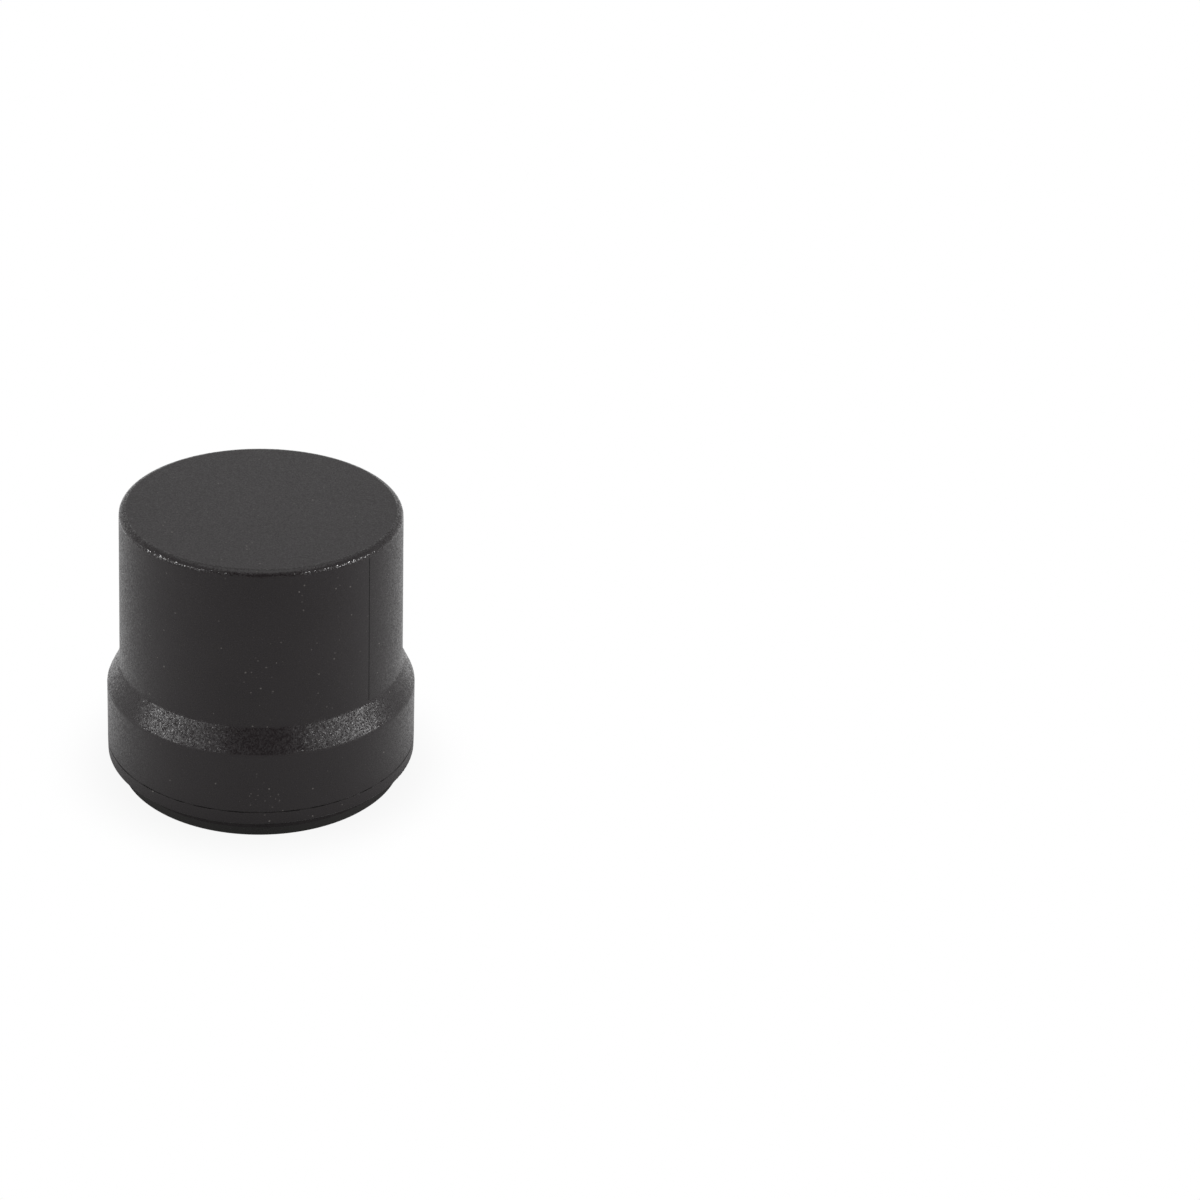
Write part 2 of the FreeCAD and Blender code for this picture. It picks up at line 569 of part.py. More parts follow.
def build_gasket():
    """Moulded rubber ring under the foot, held by a tongue in the foot's groove."""
    body = new_body("mounting_gasket")
    turn(
        body,
        "gasket_form",
        [
            (FOOT_BORE, "0"),
            ("sizes.foot_radius", "0"),
            ("sizes.foot_radius", "sizes.gasket_thickness"),
            (TONGUE_OUT, "sizes.gasket_thickness"),
            (TONGUE_OUT, TONGUE_TOP),
            (TONGUE_IN, TONGUE_TOP),
            (TONGUE_IN, "sizes.gasket_thickness"),
            (FOOT_BORE, "sizes.gasket_thickness"),
        ],
    )
    soften(body, "gasket_bevel", "Chamfer", "sizes.gasket_bevel", [("sizes.foot_radius", "0")])
    return body


def build_housing_seal():
    """O-ring squeezed between the spigot's groove and the radome's bore."""
    body = new_body("housing_seal")
    low = f"({SEAL_LOW} + (sizes.seal_groove - sizes.seal_section) / 2)"
    corners = rectangle(SEAL_BORE, SKIRT_BORE, low, f"({low} + sizes.seal_section)")
    turn(body, "seal_form", corners)
    soften(body, "seal_rounding", "Fillet", f"{SEAL_DEPTH} * {RING_CORNER}", corners)
    return body


def build_screws(name, circle, seat, towards, sizes_of, count):
    """Pan-head screws on one circle; towards is +1 for shanks that point up, -1 for down."""
    radius, grip, head_radius, head_height = sizes_of
    sign = "" if towards > 0 else "-"
    body = new_body(name)
    axis = draw(body, f"{name}_axis", "XZ_Plane")
    feature = body.newObject("PartDesign::Revolution", f"{name}_form")
    tip = f"({seat} + {sign}({grip}))"
    neck = f"({seat} + {sign}({grip} - {radius} * {POINT_LENGTH}))"
    head = f"({seat} - {sign}({head_height}))"
    crown = f"({seat} - {sign}({head_height} * {CROWN_HEIGHT}))"
    brim = f"({seat} - {sign}({head_height} * {BRIM_HEIGHT}))"
    outline = [
        (circle, head),
        (f"({circle} + {head_radius} * {HEAD_FLAT})", head),
        (f"({circle} + {head_radius} * {HEAD_CROWN})", crown),
        (f"({circle} + {head_radius})", brim),
        (f"({circle} + {head_radius})", seat),
        (f"({circle} + {radius})", seat),
        (f"({circle} + {radius})", neck),
        (f"({circle} + {radius} * {POINT_RADIUS})", tip),
        (circle, tip),
    ]
    profile = draw(body, f"{name}_outline", "XZ_Plane", [outline])
    foot, above = Vector(number(circle), 0, 0), Vector(number(circle), 1, 0)
    line = axis.addGeometry(Part.LineSegment(foot, above), False)
    axis.addConstraint(Sketcher.Constraint("Vertical", line))
    pin_point(axis, line, 1, (circle, "0"))
    feature.Profile = profile
    feature.ReferenceAxis = (axis, ["Edge1"])
    feature.Angle = 360
    reach, width = f"({head_radius} * {SLOT_REACH})", f"({head_radius} * {SLOT_WIDTH})"
    recesses = []
    for index, (across, along) in enumerate(((reach, width), (width, reach))):
        low_x, high_x = f"({circle} - {across})", f"({circle} + {across})"
        corners = rectangle(low_x, high_x, f"-{along}", along)
        slot = draw(body, f"{name}_slot_{index}", "XY_Plane", [corners], height=head)
        upwards = towards > 0
        recesses.append(sink(body, f"{name}_recess_{index}", slot, "sizes.recess_depth", upwards))
    spread(body, name + "_ring", [feature] + recesses, count)
    return body


def build_plug_shell():
    """Turned coupling body: threaded bore, hexagon, flange with its seal groove, keyed barrel."""
    body = new_body("plug_shell")
    relief_low = f"({CONTACT_SHOULDER} - sizes.relief_length)"
    hexagon_bore = "(sizes.thread_radius + (sizes.coupling_flats / 2 - sizes.thread_radius) / 2)"
    turn(
        body,
        "shell_form",
        [
            ("sizes.thread_radius", MOUTH),
            ("(sizes.coupling_flats / 2)", MOUTH),
            ("(sizes.coupling_flats / 2)", FLANGE_LOW),
            ("sizes.flange_radius", FLANGE_LOW),
            ("sizes.flange_radius", HUB_LOW),
            (PLUG_SEAL_OUT, HUB_LOW),
            (PLUG_SEAL_OUT, PLUG_SEAL_LOW),
            (PLUG_SEAL_IN, PLUG_SEAL_LOW),
            (PLUG_SEAL_IN, HUB_LOW),
            ("sizes.barrel_radius", HUB_LOW),
            ("sizes.barrel_radius", BARREL_TOP),
            ("sizes.body_flange", BARREL_TOP),
            ("sizes.body_flange", BODY_FLANGE_LOW),
            ("sizes.body_radius", BODY_FLANGE_LOW),
            ("sizes.body_radius", SEAL_SEAT),
            ("sizes.relief_radius", SEAL_SEAT),
            ("sizes.relief_radius", relief_low),
            ("sizes.thread_radius", relief_low),
        ],
    )
    flats = draw(
        body,
        "hexagon_outline",
        "XY_Plane",
        [hexagon("sizes.coupling_flats")],
        [("0", "0", hexagon_bore)],
        height=MOUTH,
    )
    raise_from(body, "hexagon", flats, "sizes.coupling_length")
    half = "(sizes.coupling_flats / 2)"
    corner = "(sizes.coupling_flats / sqrt(3) + sizes.cut_overrun)"
    slope = f"(({corner} - {half}) * tan(sizes.hexagon_bevel))"
    bevel = [(half, MOUTH), (corner, MOUTH), (corner, f"({MOUTH} + {slope})")]
    turn(body, "hexagon_bevel", bevel, cut=True)
    beyond = "(2 * sizes.barrel_radius)"
    sides = [
        rectangle("sizes.barrel_flat", beyond, f"-{beyond}", beyond),
        rectangle(f"-{beyond}", "-sizes.barrel_flat", f"-{beyond}", beyond),
    ]
    key = draw(body, "flat_outline", "XY_Plane", sides, height=BARREL_TOP)
    sink(body, "barrel_flats", key, "sizes.barrel_length")
    return body


def build_plug_body():
    """Outer contact sleeve, its seat in the shell and the rear barrel that the cable enters."""
    body = new_body("plug_body")
    cable_bore = "(sizes.cable_radius + sizes.cable_bore_gap)"
    turn(
        body,
        "body_form",
        [
            ("sizes.dielectric_radius", CONTACT),
            ("sizes.contact_radius", CONTACT),
            ("sizes.contact_radius", CONTACT_SHOULDER),
            ("sizes.mating_seal_bore", CONTACT_SHOULDER),
            ("sizes.mating_seal_bore", SEAL_SEAT),
            ("sizes.body_radius", SEAL_SEAT),
            ("sizes.body_radius", BODY_FLANGE_LOW),
            ("sizes.body_flange", BODY_FLANGE_LOW),
            ("sizes.body_flange", BARREL_TOP),
            ("sizes.solder_barrel_radius", BARREL_TOP),
            ("sizes.solder_barrel_radius", SOLDER_TOP),
            (cable_bore, SOLDER_TOP),
            (cable_bore, DIELECTRIC_TOP),
            ("sizes.dielectric_radius", DIELECTRIC_TOP),
        ],
    )
    return body


def build_plug_inner():
    """The white insulator, the centre contact with its shank, and the soft mating ring."""
    dielectric = new_body("plug_dielectric")
    bore = rectangle("sizes.pin_shank_radius", "sizes.dielectric_radius", CONTACT, DIELECTRIC_TOP)
    turn(dielectric, "dielectric_form", bore)

    pin = new_body("plug_pin")
    tip = f"({CONTACT} - sizes.pin_reach)"
    turn(
        pin,
        "pin_form",
        [
            ("0", tip),
            ("sizes.pin_tip_radius", tip),
            ("sizes.pin_radius", f"({tip} + sizes.pin_radius)"),
            ("sizes.pin_radius", CONTACT),
            ("sizes.pin_shank_radius", CONTACT),
            ("sizes.pin_shank_radius", DIELECTRIC_TOP),
            ("0", DIELECTRIC_TOP),
        ],
    )

    ring = new_body("mating_seal")
    section = rectangle("sizes.mating_seal_bore", "sizes.relief_radius", CONTACT_SHOULDER, SEAL_SEAT)
    turn(ring, "mating_seal_form", section)

    seal = new_body("plug_seal")
    corners = rectangle(PLUG_SEAL_IN, PLUG_SEAL_OUT, PLUG_SEAL_LOW, HUB_LOW)
    turn(seal, "plug_seal_form", corners)
    rounding = f"sizes.plug_seal_depth * {RING_CORNER}"
    soften(seal, "plug_seal_rounding", "Fillet", rounding, corners)
    return [dielectric, pin, ring, seal]


def build_plug_fastening():
    """Split spring washer on the hub and the bevelled locknut that draws the plug up."""
    washer = new_body("plug_lock_washer")
    bore = "(sizes.barrel_radius + sizes.barrel_gap)"
    turn(washer, "washer_form", rectangle(bore, "sizes.washer_radius", HUB_TOP, WASHER_TOP))
    half = "(sizes.washer_slot / 2)"
    beyond = "(sizes.washer_radius + sizes.cut_overrun)"
    slot = rectangle("(sizes.barrel_flat / 2)", beyond, f"-{half}", half)
    gap = draw(washer, "washer_gap_outline", "XY_Plane", [slot], height=HUB_TOP)
    sink(washer, "washer_gap", gap, "sizes.washer_thickness", upwards=True)

    nut = new_body("plug_locknut")
    outline = draw(
        nut,
        "locknut_outline",
        "XY_Plane",
        [hexagon("sizes.locknut_flats")],
        [("0", "0", "sizes.barrel_radius")],
        height=WASHER_TOP,
    )
    raise_from(nut, "locknut_form", outline, "sizes.locknut_thickness")
    corner = "(sizes.locknut_flats / sqrt(3) + sizes.cut_overrun)"
    flat = "(sizes.locknut_flats / 2)"
    top = f"({WASHER_TOP} + sizes.locknut_thickness)"
    slope = f"(({corner} - {flat}) * tan(sizes.hexagon_bevel))"
    turn(nut, "upper_bevel", [(flat, top), (corner, f"({top} - {slope})"), (corner, top)], cut=True)
    lower = [(flat, WASHER_TOP), (corner, WASHER_TOP), (corner, f"({WASHER_TOP} + {slope})")]
    turn(nut, "lower_bevel", lower, cut=True)
    return [washer, nut]


def build_sleeve():
    """Heat-shrink sleeve, drawn down over the plug's rear barrel and on to the cable."""
    body = new_body("heat_shrink_sleeve")
    wide = "(sizes.solder_barrel_radius + sizes.sleeve_wall)"
    narrow = "(sizes.cable_radius + sizes.sleeve_wall)"
    turn(
        body,
        "sleeve_form",
        [
            ("sizes.solder_barrel_radius", BARREL_TOP),
            (wide, BARREL_TOP),
            (wide, SOLDER_TOP),
            (narrow, f"({SOLDER_TOP} + sizes.sleeve_cone)"),
            (narrow, SLEEVE_TOP),
            ("sizes.cable_radius", SLEEVE_TOP),
            ("sizes.cable_radius", SOLDER_TOP),
            ("sizes.solder_barrel_radius", SOLDER_TOP),
        ],
    )
    return body


def build_cable():
    """The inner cable: up from the plug, out between two pillars, up and back to the board."""
    radius, reach = number("sizes.cable_radius"), number("sizes.cable_reach")
    plug_height, spare = number(MICRO_AXIS), number("sizes.cable_spare")
    # Three bends stand one above the other between the sleeve and the board's socket, and none
    # is larger than a third of that height
    room = (plug_height - number(SLEEVE_TOP) - spare) / 3
    lead_bend = min(number("sizes.cable_lead_bend"), room)
    bend = min(number("sizes.cable_bend"), room)
    low = plug_height - 2 * bend - spare
    start = Vector(0, 0, number(DIELECTRIC_TOP))
    finish = Vector(0, number(f"{NECK_END} - sizes.cable_radius"), plug_height)
    corners = [Vector(0, 0, low), Vector(0, reach, low), Vector(0, reach, plug_height)]
    bends = [lead_bend, bend, bend]
    edges, here = [], start
    for corner, size, after in zip(corners, bends, corners[1:] + [finish]):
        towards, away = (corner - here).normalize(), (after - corner).normalize()
        half_turn = towards.getAngle(away) / 2
        setback = size * math.tan(half_turn)
        arc_start, arc_end = corner - towards * setback, corner + away * setback
        to_centre = (away - towards).normalize()
        crown = corner + to_centre * (size / math.cos(half_turn) - size)
        edges.append(Part.LineSegment(here, arc_start).toShape())
        edges.append(Part.Arc(arc_start, crown, arc_end).toShape())
        here = arc_end
    edges.append(Part.LineSegment(here, finish).toShape())
    path = Part.Wire(edges)
    section = Part.Wire([Part.makeCircle(radius, start, Vector(0, 0, 1))])
    cable = doc.addObject("Part::Feature", "inner_cable")
    cable.Shape = path.makePipeShell([section], True, False)
    cable.Placement = FreeCAD.Placement()
    expected = math.pi * radius**2 * path.Length
    share = cable.Shape.Volume / expected
    print(f"inner cable: length {path.Length:.2f}, bends {bends}, volume {share:.5f}")
    return cable


def build_board():
    """Round board with a notch for each column and clearance holes for its screws."""
    body = new_body("circuit_board")
    outline = [("0", "0", BOARD_RADIUS)]
    blank = draw(body, "board_circle", "XY_Plane", circles=outline, height=BOARD_LOW)
    raise_from(body, "board_blank", blank, "sizes.board_thickness")
    notch_circle = [(COLUMN_CIRCLE, "0", f"({COLUMN_AT_BOARD} + sizes.notch_gap)")]
    notch_plane = draw(body, "notch_circle", "XY_Plane", circles=notch_circle, height=BOARD_LOW)
    notch = sink(body, "column_notch", notch_plane, "sizes.board_thickness", upwards=True)
    hole = [(f"-{PILLAR_CIRCLE}", "0", "(sizes.board_screw_radius + sizes.board_screw_gap)")]
    hole_plane = draw(body, "hole_circle", "XY_Plane", circles=hole, height=BOARD_LOW)
    screw_hole = sink(body, "screw_hole", hole_plane, "sizes.board_thickness", upwards=True)
    spread(body, "notches_and_holes", [notch, screw_hole], "sizes.column_count")
    feed = [("0", "sizes.feed_offset", "sizes.feed_radius")]
    feed_plane = draw(body, "feed_circle", "XY_Plane", circles=feed, height=BOARD_LOW)
    sink(body, "feed_hole", feed_plane, "sizes.board_thickness", upwards=True)
    return body


def build_patch():
    """Ceramic patch with bevelled corners, the pad that bonds it down and the pin through both."""
    patch = new_body("patch_antenna")
    half, inset = "(sizes.patch_side / 2)", "(sizes.patch_side / 2 - sizes.patch_bevel)"
    bevelled = [
        (inset, f"-{half}"),
        (half, f"-{inset}"),
        (half, inset),
        (inset, half),
        (f"-{inset}", half),
        (f"-{half}", inset),
        (f"-{half}", f"-{inset}"),
        (f"-{inset}", f"-{half}"),
    ]
    feed = [("0", "sizes.feed_offset", "sizes.feed_radius")]
    outline = draw(patch, "patch_outline", "XY_Plane", [bevelled], feed, height=PATCH_LOW)
    raise_from(patch, "patch_form", outline, "sizes.patch_thickness")

    pad = new_body("patch_adhesive")
    outline = draw(pad, "pad_outline", "XY_Plane", [square("sizes.pad_side")], feed, height=BOARD_TOP)
    raise_from(pad, "pad_form", outline, "sizes.pad_thickness")

    pin = new_body("feed_pin")
    pin_low = f"{BOARD_LOW} - sizes.feed_reach"
    shank = draw(pin, "shank_circle", "XY_Plane", circles=feed, height=pin_low)
    raise_from(pin, "shank", shank, f"{PATCH_TOP} - {BOARD_LOW} + sizes.feed_reach")
    head = [("0", "sizes.feed_offset", "sizes.feed_head_radius")]
    head_plane = draw(pin, "head_circle", "XY_Plane", circles=head, height=PATCH_TOP)
    raise_from(pin, "head", head_plane, "sizes.feed_head_thickness")
    return [patch, pad, pin]


def build_shield():
    """Sheet-metal fence soldered under the board, and the perforated lid pressed over it."""
    centre = "-sizes.shield_offset"
    inside = "(sizes.shield_side - 2 * sizes.shield_sheet)"
    fence_inside = f"({inside} - 2 * sizes.shield_sheet)"
    frame = new_body("shield_frame")
    fence_low = f"({BOARD_LOW} - sizes.shield_fence_height)"
    loops = [square(inside, centre), square(fence_inside, centre)]
    fence = draw(frame, "fence_outline", "XY_Plane", loops, height=fence_low)
    raise_from(frame, "fence", fence, "sizes.shield_fence_height")
    window = f"({fence_inside} - 2 * sizes.shield_flange)"
    loops = [square(inside, centre), square(window, centre)]
    flange = draw(frame, "flange_outline", "XY_Plane", loops, height=fence_low)
    raise_from(frame, "flange", flange, "sizes.shield_sheet")

    lid = new_body("shield_lid")
    lid_low = f"({BOARD_LOW} - sizes.shield_height)"
    loops = [square("sizes.shield_side", centre), square(inside, centre)]
    skirt = draw(lid, "lid_skirt_outline", "XY_Plane", loops, height=lid_low)
    raise_from(lid, "lid_skirt", skirt, "sizes.shield_skirt")
    pitch = "sizes.shield_hole_pitch"
    holes = []
    for across in (f"-{pitch}", "0", pitch):
        for along in (f"({centre} - {pitch})", centre, f"({centre} + {pitch})"):
            holes.append((across, along, "sizes.shield_hole"))
    outline = [square("sizes.shield_side", centre)]
    plate = draw(lid, "lid_plate_outline", "XY_Plane", outline, holes, lid_low)
    thickness = "(sizes.shield_height - sizes.shield_fence_height)"
    raise_from(lid, "lid_plate", plate, thickness)
    return [frame, lid]


def build_socket():
    """Micro connector pair: the socket soldered to the board and the right-angle cable plug."""
    offset = "sizes.socket_offset"
    socket = new_body("board_socket")
    low = f"({BOARD_LOW} - sizes.socket_foot)"
    outline = [square("sizes.socket_side", offset)]
    foot = draw(socket, "socket_foot_outline", "XY_Plane", outline, height=low)
    raise_from(socket, "socket_foot", foot, "sizes.socket_foot")
    rings = [("0", offset, "sizes.socket_radius"), ("0", offset, "sizes.socket_bore")]
    tube_low = f"({BOARD_LOW} - sizes.socket_height)"
    tube = draw(socket, "socket_sleeve_circles", "XY_Plane", circles=rings, height=tube_low)
    raise_from(socket, "socket_sleeve", tube, "sizes.socket_height - sizes.socket_foot")

    plug = new_body("cable_plug")
    cap_low = f"({BOARD_LOW} - sizes.socket_foot - sizes.micro_plug_height)"
    cap_circle = [("0", offset, "sizes.micro_plug_radius")]
    cap = draw(plug, "cap_circle", "XY_Plane", circles=cap_circle, height=cap_low)
    raise_from(plug, "cap", cap, "sizes.micro_plug_height")
    neck_circle = [("0", MICRO_AXIS, "sizes.micro_neck_radius")]
    neck = draw(plug, "neck_circle", "XZ_Plane", circles=neck_circle, height=f"-{NECK_END}")
    raise_from(plug, "neck", neck, "sizes.micro_neck_length")
    bore_circle = [("0", MICRO_AXIS, "sizes.cable_radius")]
    bore = draw(plug, "cable_circle", "XZ_Plane", circles=bore_circle, height=f"-{NECK_END}")
    sink(plug, "cable_hole", bore, "sizes.cable_radius", upwards=True)
    mouth_circle = [("0", offset, "sizes.socket_radius")]
    mouth = draw(plug, "mouth_circle", "XY_Plane", circles=mouth_circle, height=tube_low)
    sink(plug, "mouth", mouth, "sizes.socket_height", upwards=True)
    return [socket, plug]


def build_chips():
    """Surface-mounted parts under the shield, each a block at a place of the layout grid."""
    band_filter = ("filter_side", "filter_side", "filter_height")
    amplifier = ("amplifier_width", "amplifier_depth", "amplifier_height")
    regulator = ("regulator_width", "regulator_depth", "regulator_height")
    upright = ("chip_width", "chip_length", "chip_height")
    lying = ("chip_length", "chip_width", "chip_height")
    inductor = ("inductor_length", "inductor_width", "inductor_width")
    layout = {
        "band_filter": ((-12, 3, band_filter),),
        "amplifier_chips": ((8, 1, amplifier), (-13, -16, amplifier)),
        "voltage_regulator": ((15, -23, regulator),),
        "chip_parts": (
            (19, 2, upright),
            (19, -8, upright),
            (1, -8, lying),
            (-23, 1, upright),
            (-23, -16, upright),
            (-3, -16, upright),
            (-13, -27, lying),
            (1, -31, inductor),
        ),
    }
    nodes = []
    for name, chips in layout.items():
        blocks = []
        for index, (across, along, footprint) in enumerate(chips):
            width, depth, height = (f"sizes.{size}" for size in footprint)
            block = doc.addObject("Part::Box", f"{name}_{index}")
            block.setExpression("Length", width)
            block.setExpression("Width", depth)
            block.setExpression("Height", height)
            block.setExpression("Placement.Base.x", f"{across} * sizes.chip_grid - {width} / 2")
            block.setExpression("Placement.Base.y", f"{along} * sizes.chip_grid - {depth} / 2")
            block.setExpression("Placement.Base.z", f"{BOARD_LOW} - {height}")
            blocks.append(block)
        group = doc.addObject("Part::Compound", name)
        group.Links = blocks
        nodes.append(group)
    return nodes


HOUSING_SCREW = (
    "sizes.screw_radius",
    "(sizes.floor_thickness + sizes.column_gap + sizes.screw_grip)",
    "sizes.screw_head_radius",
    "sizes.screw_head_height",
)
BOARD_SCREW = (
    "sizes.board_screw_radius",
    "(sizes.board_thickness + sizes.board_screw_grip)",
    "sizes.board_screw_head",
    "sizes.board_screw_head_height",
)

count = "sizes.column_count"
parts = [build_radome(), build_base(), build_gasket(), build_housing_seal()]
parts.append(build_screws("housing_screws", COLUMN_CIRCLE, FLOOR_LOW, 1, HOUSING_SCREW, count))
parts += [build_plug_shell(), build_plug_body(), *build_plug_inner(), *build_plug_fastening()]
parts += [build_sleeve(), build_cable(), build_board()]
board_circle = f"-{PILLAR_CIRCLE}"
parts.append(build_screws("board_screws", board_circle, BOARD_TOP, -1, BOARD_SCREW, count))
parts += [*build_patch(), *build_shield(), *build_socket(), *build_chips()]
doc.recompute()

for item in doc.Objects:
    if {"Invalid", "Error"} & set(item.State):
        raise RuntimeError(f"{item.Name} failed: {item.State}")
for piece in parts:
    if piece.Shape.isNull() or not piece.Shape.isValid():
        raise RuntimeError(f"{piece.Label} has no valid shape")

os.makedirs("parts", exist_ok=True)
for piece in parts:
    piece.Shape.exportStep(f"parts/{piece.Label}.step")
    box = piece.Shape.BoundBox
    print(f"{piece.Label}: {len(piece.Shape.Solids)} solid(s), z {box.ZMin:.2f} to {box.ZMax:.2f}")
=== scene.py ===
from math import atan, cos, hypot, pi, radians, sin

import bpy
import numpy as np
from mathutils import Matrix, Vector


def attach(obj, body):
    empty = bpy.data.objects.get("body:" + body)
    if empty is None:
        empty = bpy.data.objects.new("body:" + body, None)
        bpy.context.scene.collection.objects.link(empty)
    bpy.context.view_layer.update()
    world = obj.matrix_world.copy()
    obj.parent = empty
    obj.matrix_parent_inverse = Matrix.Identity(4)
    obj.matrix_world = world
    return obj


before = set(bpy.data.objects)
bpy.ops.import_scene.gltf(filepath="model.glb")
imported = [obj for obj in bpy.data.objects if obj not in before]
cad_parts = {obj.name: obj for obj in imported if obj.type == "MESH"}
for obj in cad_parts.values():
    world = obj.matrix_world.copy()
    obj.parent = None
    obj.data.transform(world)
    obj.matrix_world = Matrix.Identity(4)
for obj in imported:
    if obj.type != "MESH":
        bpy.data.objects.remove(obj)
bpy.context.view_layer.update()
scene = bpy.context.scene
scene.view_settings.view_transform = "Standard"


# The camera: a long lens that looks down on the antenna, which stands left of the middle of the
# square frame. It is panned and tilted instead of shifted, so that other views keep their centre.
FRAME_PX = 1200
FOCAL_PX = 2471
AIM = Vector((0, 0, 0.0228))
AIM_PX = (262.2, 634.8)
LOOK_DOWN = radians(29.34)
STAND_OFF = 0.390

across = (AIM_PX[0] - FRAME_PX / 2) / FOCAL_PX
below = (AIM_PX[1] - FRAME_PX / 2) / FOCAL_PX
pan = atan(across)
tilt = atan(below / hypot(1, across)) - LOOK_DOWN
place = AIM + STAND_OFF * Vector((0, -cos(LOOK_DOWN), sin(LOOK_DOWN)))
lens = bpy.data.cameras.new("camera")
lens.sensor_width = 36
lens.lens = lens.sensor_width * FOCAL_PX / FRAME_PX
lens.clip_start = 0.01
camera = bpy.data.objects.new("camera", lens)
scene.collection.objects.link(camera)
turn_down = Matrix.Rotation(pi / 2 + tilt, 4, "X")
camera.matrix_world = Matrix.Translation(place) @ turn_down @ Matrix.Rotation(pan, 4, "Y")
scene.camera = camera


# The light: a pale tent. A wide panel overhead lights the roof, and three small panels low on each
# side glance off the walls, the shoulder and the roof's edge. A dark card hangs in front.
def linear(colour):
    """Linear RGBA of an sRGB hex colour: each channel over 255, with the display curve undone."""
    channels = np.array([int(colour[i : i + 2], 16) for i in (1, 3, 5)]) / 255
    bright = ((channels + 0.055) / 1.055) ** 2.4
    return (*np.where(channels > 0.04045, bright, channels / 12.92), 1.0)


def add_node(tree, kind, settings=None, links=None):
    """One node. Settings go to the socket of that name or number, or else to the property."""
    node = tree.nodes.new(kind)
    for name, value in (settings or {}).items():
        if isinstance(name, int) or name in node.inputs:
            node.inputs[name].default_value = value
        else:
            setattr(node, name, value)
    for socket, (source, output) in (links or {}).items():
        tree.links.new(source.outputs[output], node.inputs[socket])
    return node


def soft_panel(name, azimuth, height, distance, size, radiance):
    """A rectangular lamp that faces the antenna, azimuth counted from the camera's side."""
    lamp = bpy.data.lights.new(name, "AREA")
    lamp.shape = "RECTANGLE"
    lamp.size, lamp.size_y = size
    lamp.energy = radiance * pi * size[0] * size[1]
    panel = bpy.data.objects.new(name, lamp)
    scene.collection.objects.link(panel)
    spot = Vector((distance * sin(azimuth), -distance * cos(azimuth), height))
    facing = (spot - AIM).to_track_quat("Z", "Y").to_matrix().to_4x4()
    panel.matrix_world = Matrix.Translation(spot) @ facing


soft_panel(
    "overhead_panel", azimuth=0.0, height=0.95, distance=0.02, size=(0.9, 0.9), radiance=1.8
)
# Each side's panels by azimuth in degrees, height, size and radiance
SIDE_PANELS = {
    "far": (80, 0.16, (0.11, 0.05), 106.0),
    "mid": (61, 0.19, (0.08, 0.045), 78.0),
    "near": (41, 0.22, (0.06, 0.04), 54.0),
}
SIDE_DISTANCE, RIGHT_SHARE = 0.60, 1.17
for side, turn, share in (("left", -1, 1.0), ("right", 1, RIGHT_SHARE)):
    for part, (degrees, height, size, radiance) in SIDE_PANELS.items():
        azimuth = turn * radians(degrees)
        soft_panel(f"{side}_{part}_panel", azimuth, height, SIDE_DISTANCE, size, share * radiance)

CARD_HALF, CARD_LOW, CARD_HIGH, CARD_AWAY = 0.24, 0.09, 0.52, 0.56
card_corners = [(-CARD_HALF, -CARD_AWAY, CARD_LOW), (CARD_HALF, -CARD_AWAY, CARD_LOW)]
card_corners += [(CARD_HALF, -CARD_AWAY, CARD_HIGH), (-CARD_HALF, -CARD_AWAY, CARD_HIGH)]
card_sheet = bpy.data.meshes.new("front_card")
card_sheet.from_pydata(card_corners, [], [(0, 1, 2, 3)])
card = bpy.data.objects.new("front_card", card_sheet)
scene.collection.objects.link(card)
card.visible_camera = False
felt = bpy.data.materials.new("black_felt")
felt.use_nodes = True
felt.node_tree.nodes.clear()
cloth = add_node(felt.node_tree, "ShaderNodeBsdfDiffuse", {"Color": linear("#1a1a1a")})
add_node(felt.node_tree, "ShaderNodeOutputMaterial", links={"Surface": (cloth, "BSDF")})
card_sheet.materials.append(felt)


def trace_mirrors(tree):
    """The Light Path node, and a 1 for the rays that a mirroring or clear surface sends on."""
    ray = add_node(tree, "ShaderNodeLightPath")
    mirrored = add_node(
        tree,
        "ShaderNodeMath",
        {"operation": "MAXIMUM"},
        {0: (ray, "Is Glossy Ray"), 1: (ray, "Is Transmission Ray")},
    )
    return ray, mirrored


# The world is white where it is seen or mirrored, and lights the antenna at half that level
WORLD_LEVEL = 0.50
world = bpy.data.worlds.new("studio")
scene.world = world
world.use_nodes = True
tree = world.node_tree
tree.nodes.clear()
ray, mirrored = trace_mirrors(tree)
seen = add_node(
    tree,
    "ShaderNodeMath",
    {"operation": "MAXIMUM"},
    {0: (ray, "Is Camera Ray"), 1: (mirrored, "Value")},
)
level = add_node(
    tree,
    "ShaderNodeMapRange",
    {"To Min": WORLD_LEVEL, "To Max": 1.0},
    {"Value": (seen, "Value")},
)
sky = add_node(
    tree, "ShaderNodeBackground", {"Color": (1, 1, 1, 1)}, {"Strength": (level, "Result")}
)
add_node(tree, "ShaderNodeOutputWorld", links={"Surface": (sky, "Background")})


# The floor: white paper under the tent. Beyond SHADOW_FAR from the axis it is seen and mirrored
# as pure white. Within SHADOW_NEAR the paper is painted grey, a painted shadow that mirrors see,
# and the camera sees it SHADOW_SHARE white, which leaves a faint shadow.
FLOOR_HALF = 3.0
SHADOW_NEAR, SHADOW_FAR, SHADOW_SHARE = 0.022, 0.038, 0.92
corners = [(-FLOOR_HALF, -FLOOR_HALF, 0), (FLOOR_HALF, -FLOOR_HALF, 0)]
corners += [(FLOOR_HALF, FLOOR_HALF, 0), (-FLOOR_HALF, FLOOR_HALF, 0)]
sheet = bpy.data.meshes.new("floor")
sheet.from_pydata(corners, [], [(0, 1, 2, 3)])
floor = bpy.data.objects.new("floor", sheet)
scene.collection.objects.link(floor)
paper = bpy.data.materials.new("floor_paper")
paper.use_nodes = True
tree = paper.node_tree
tree.nodes.clear()
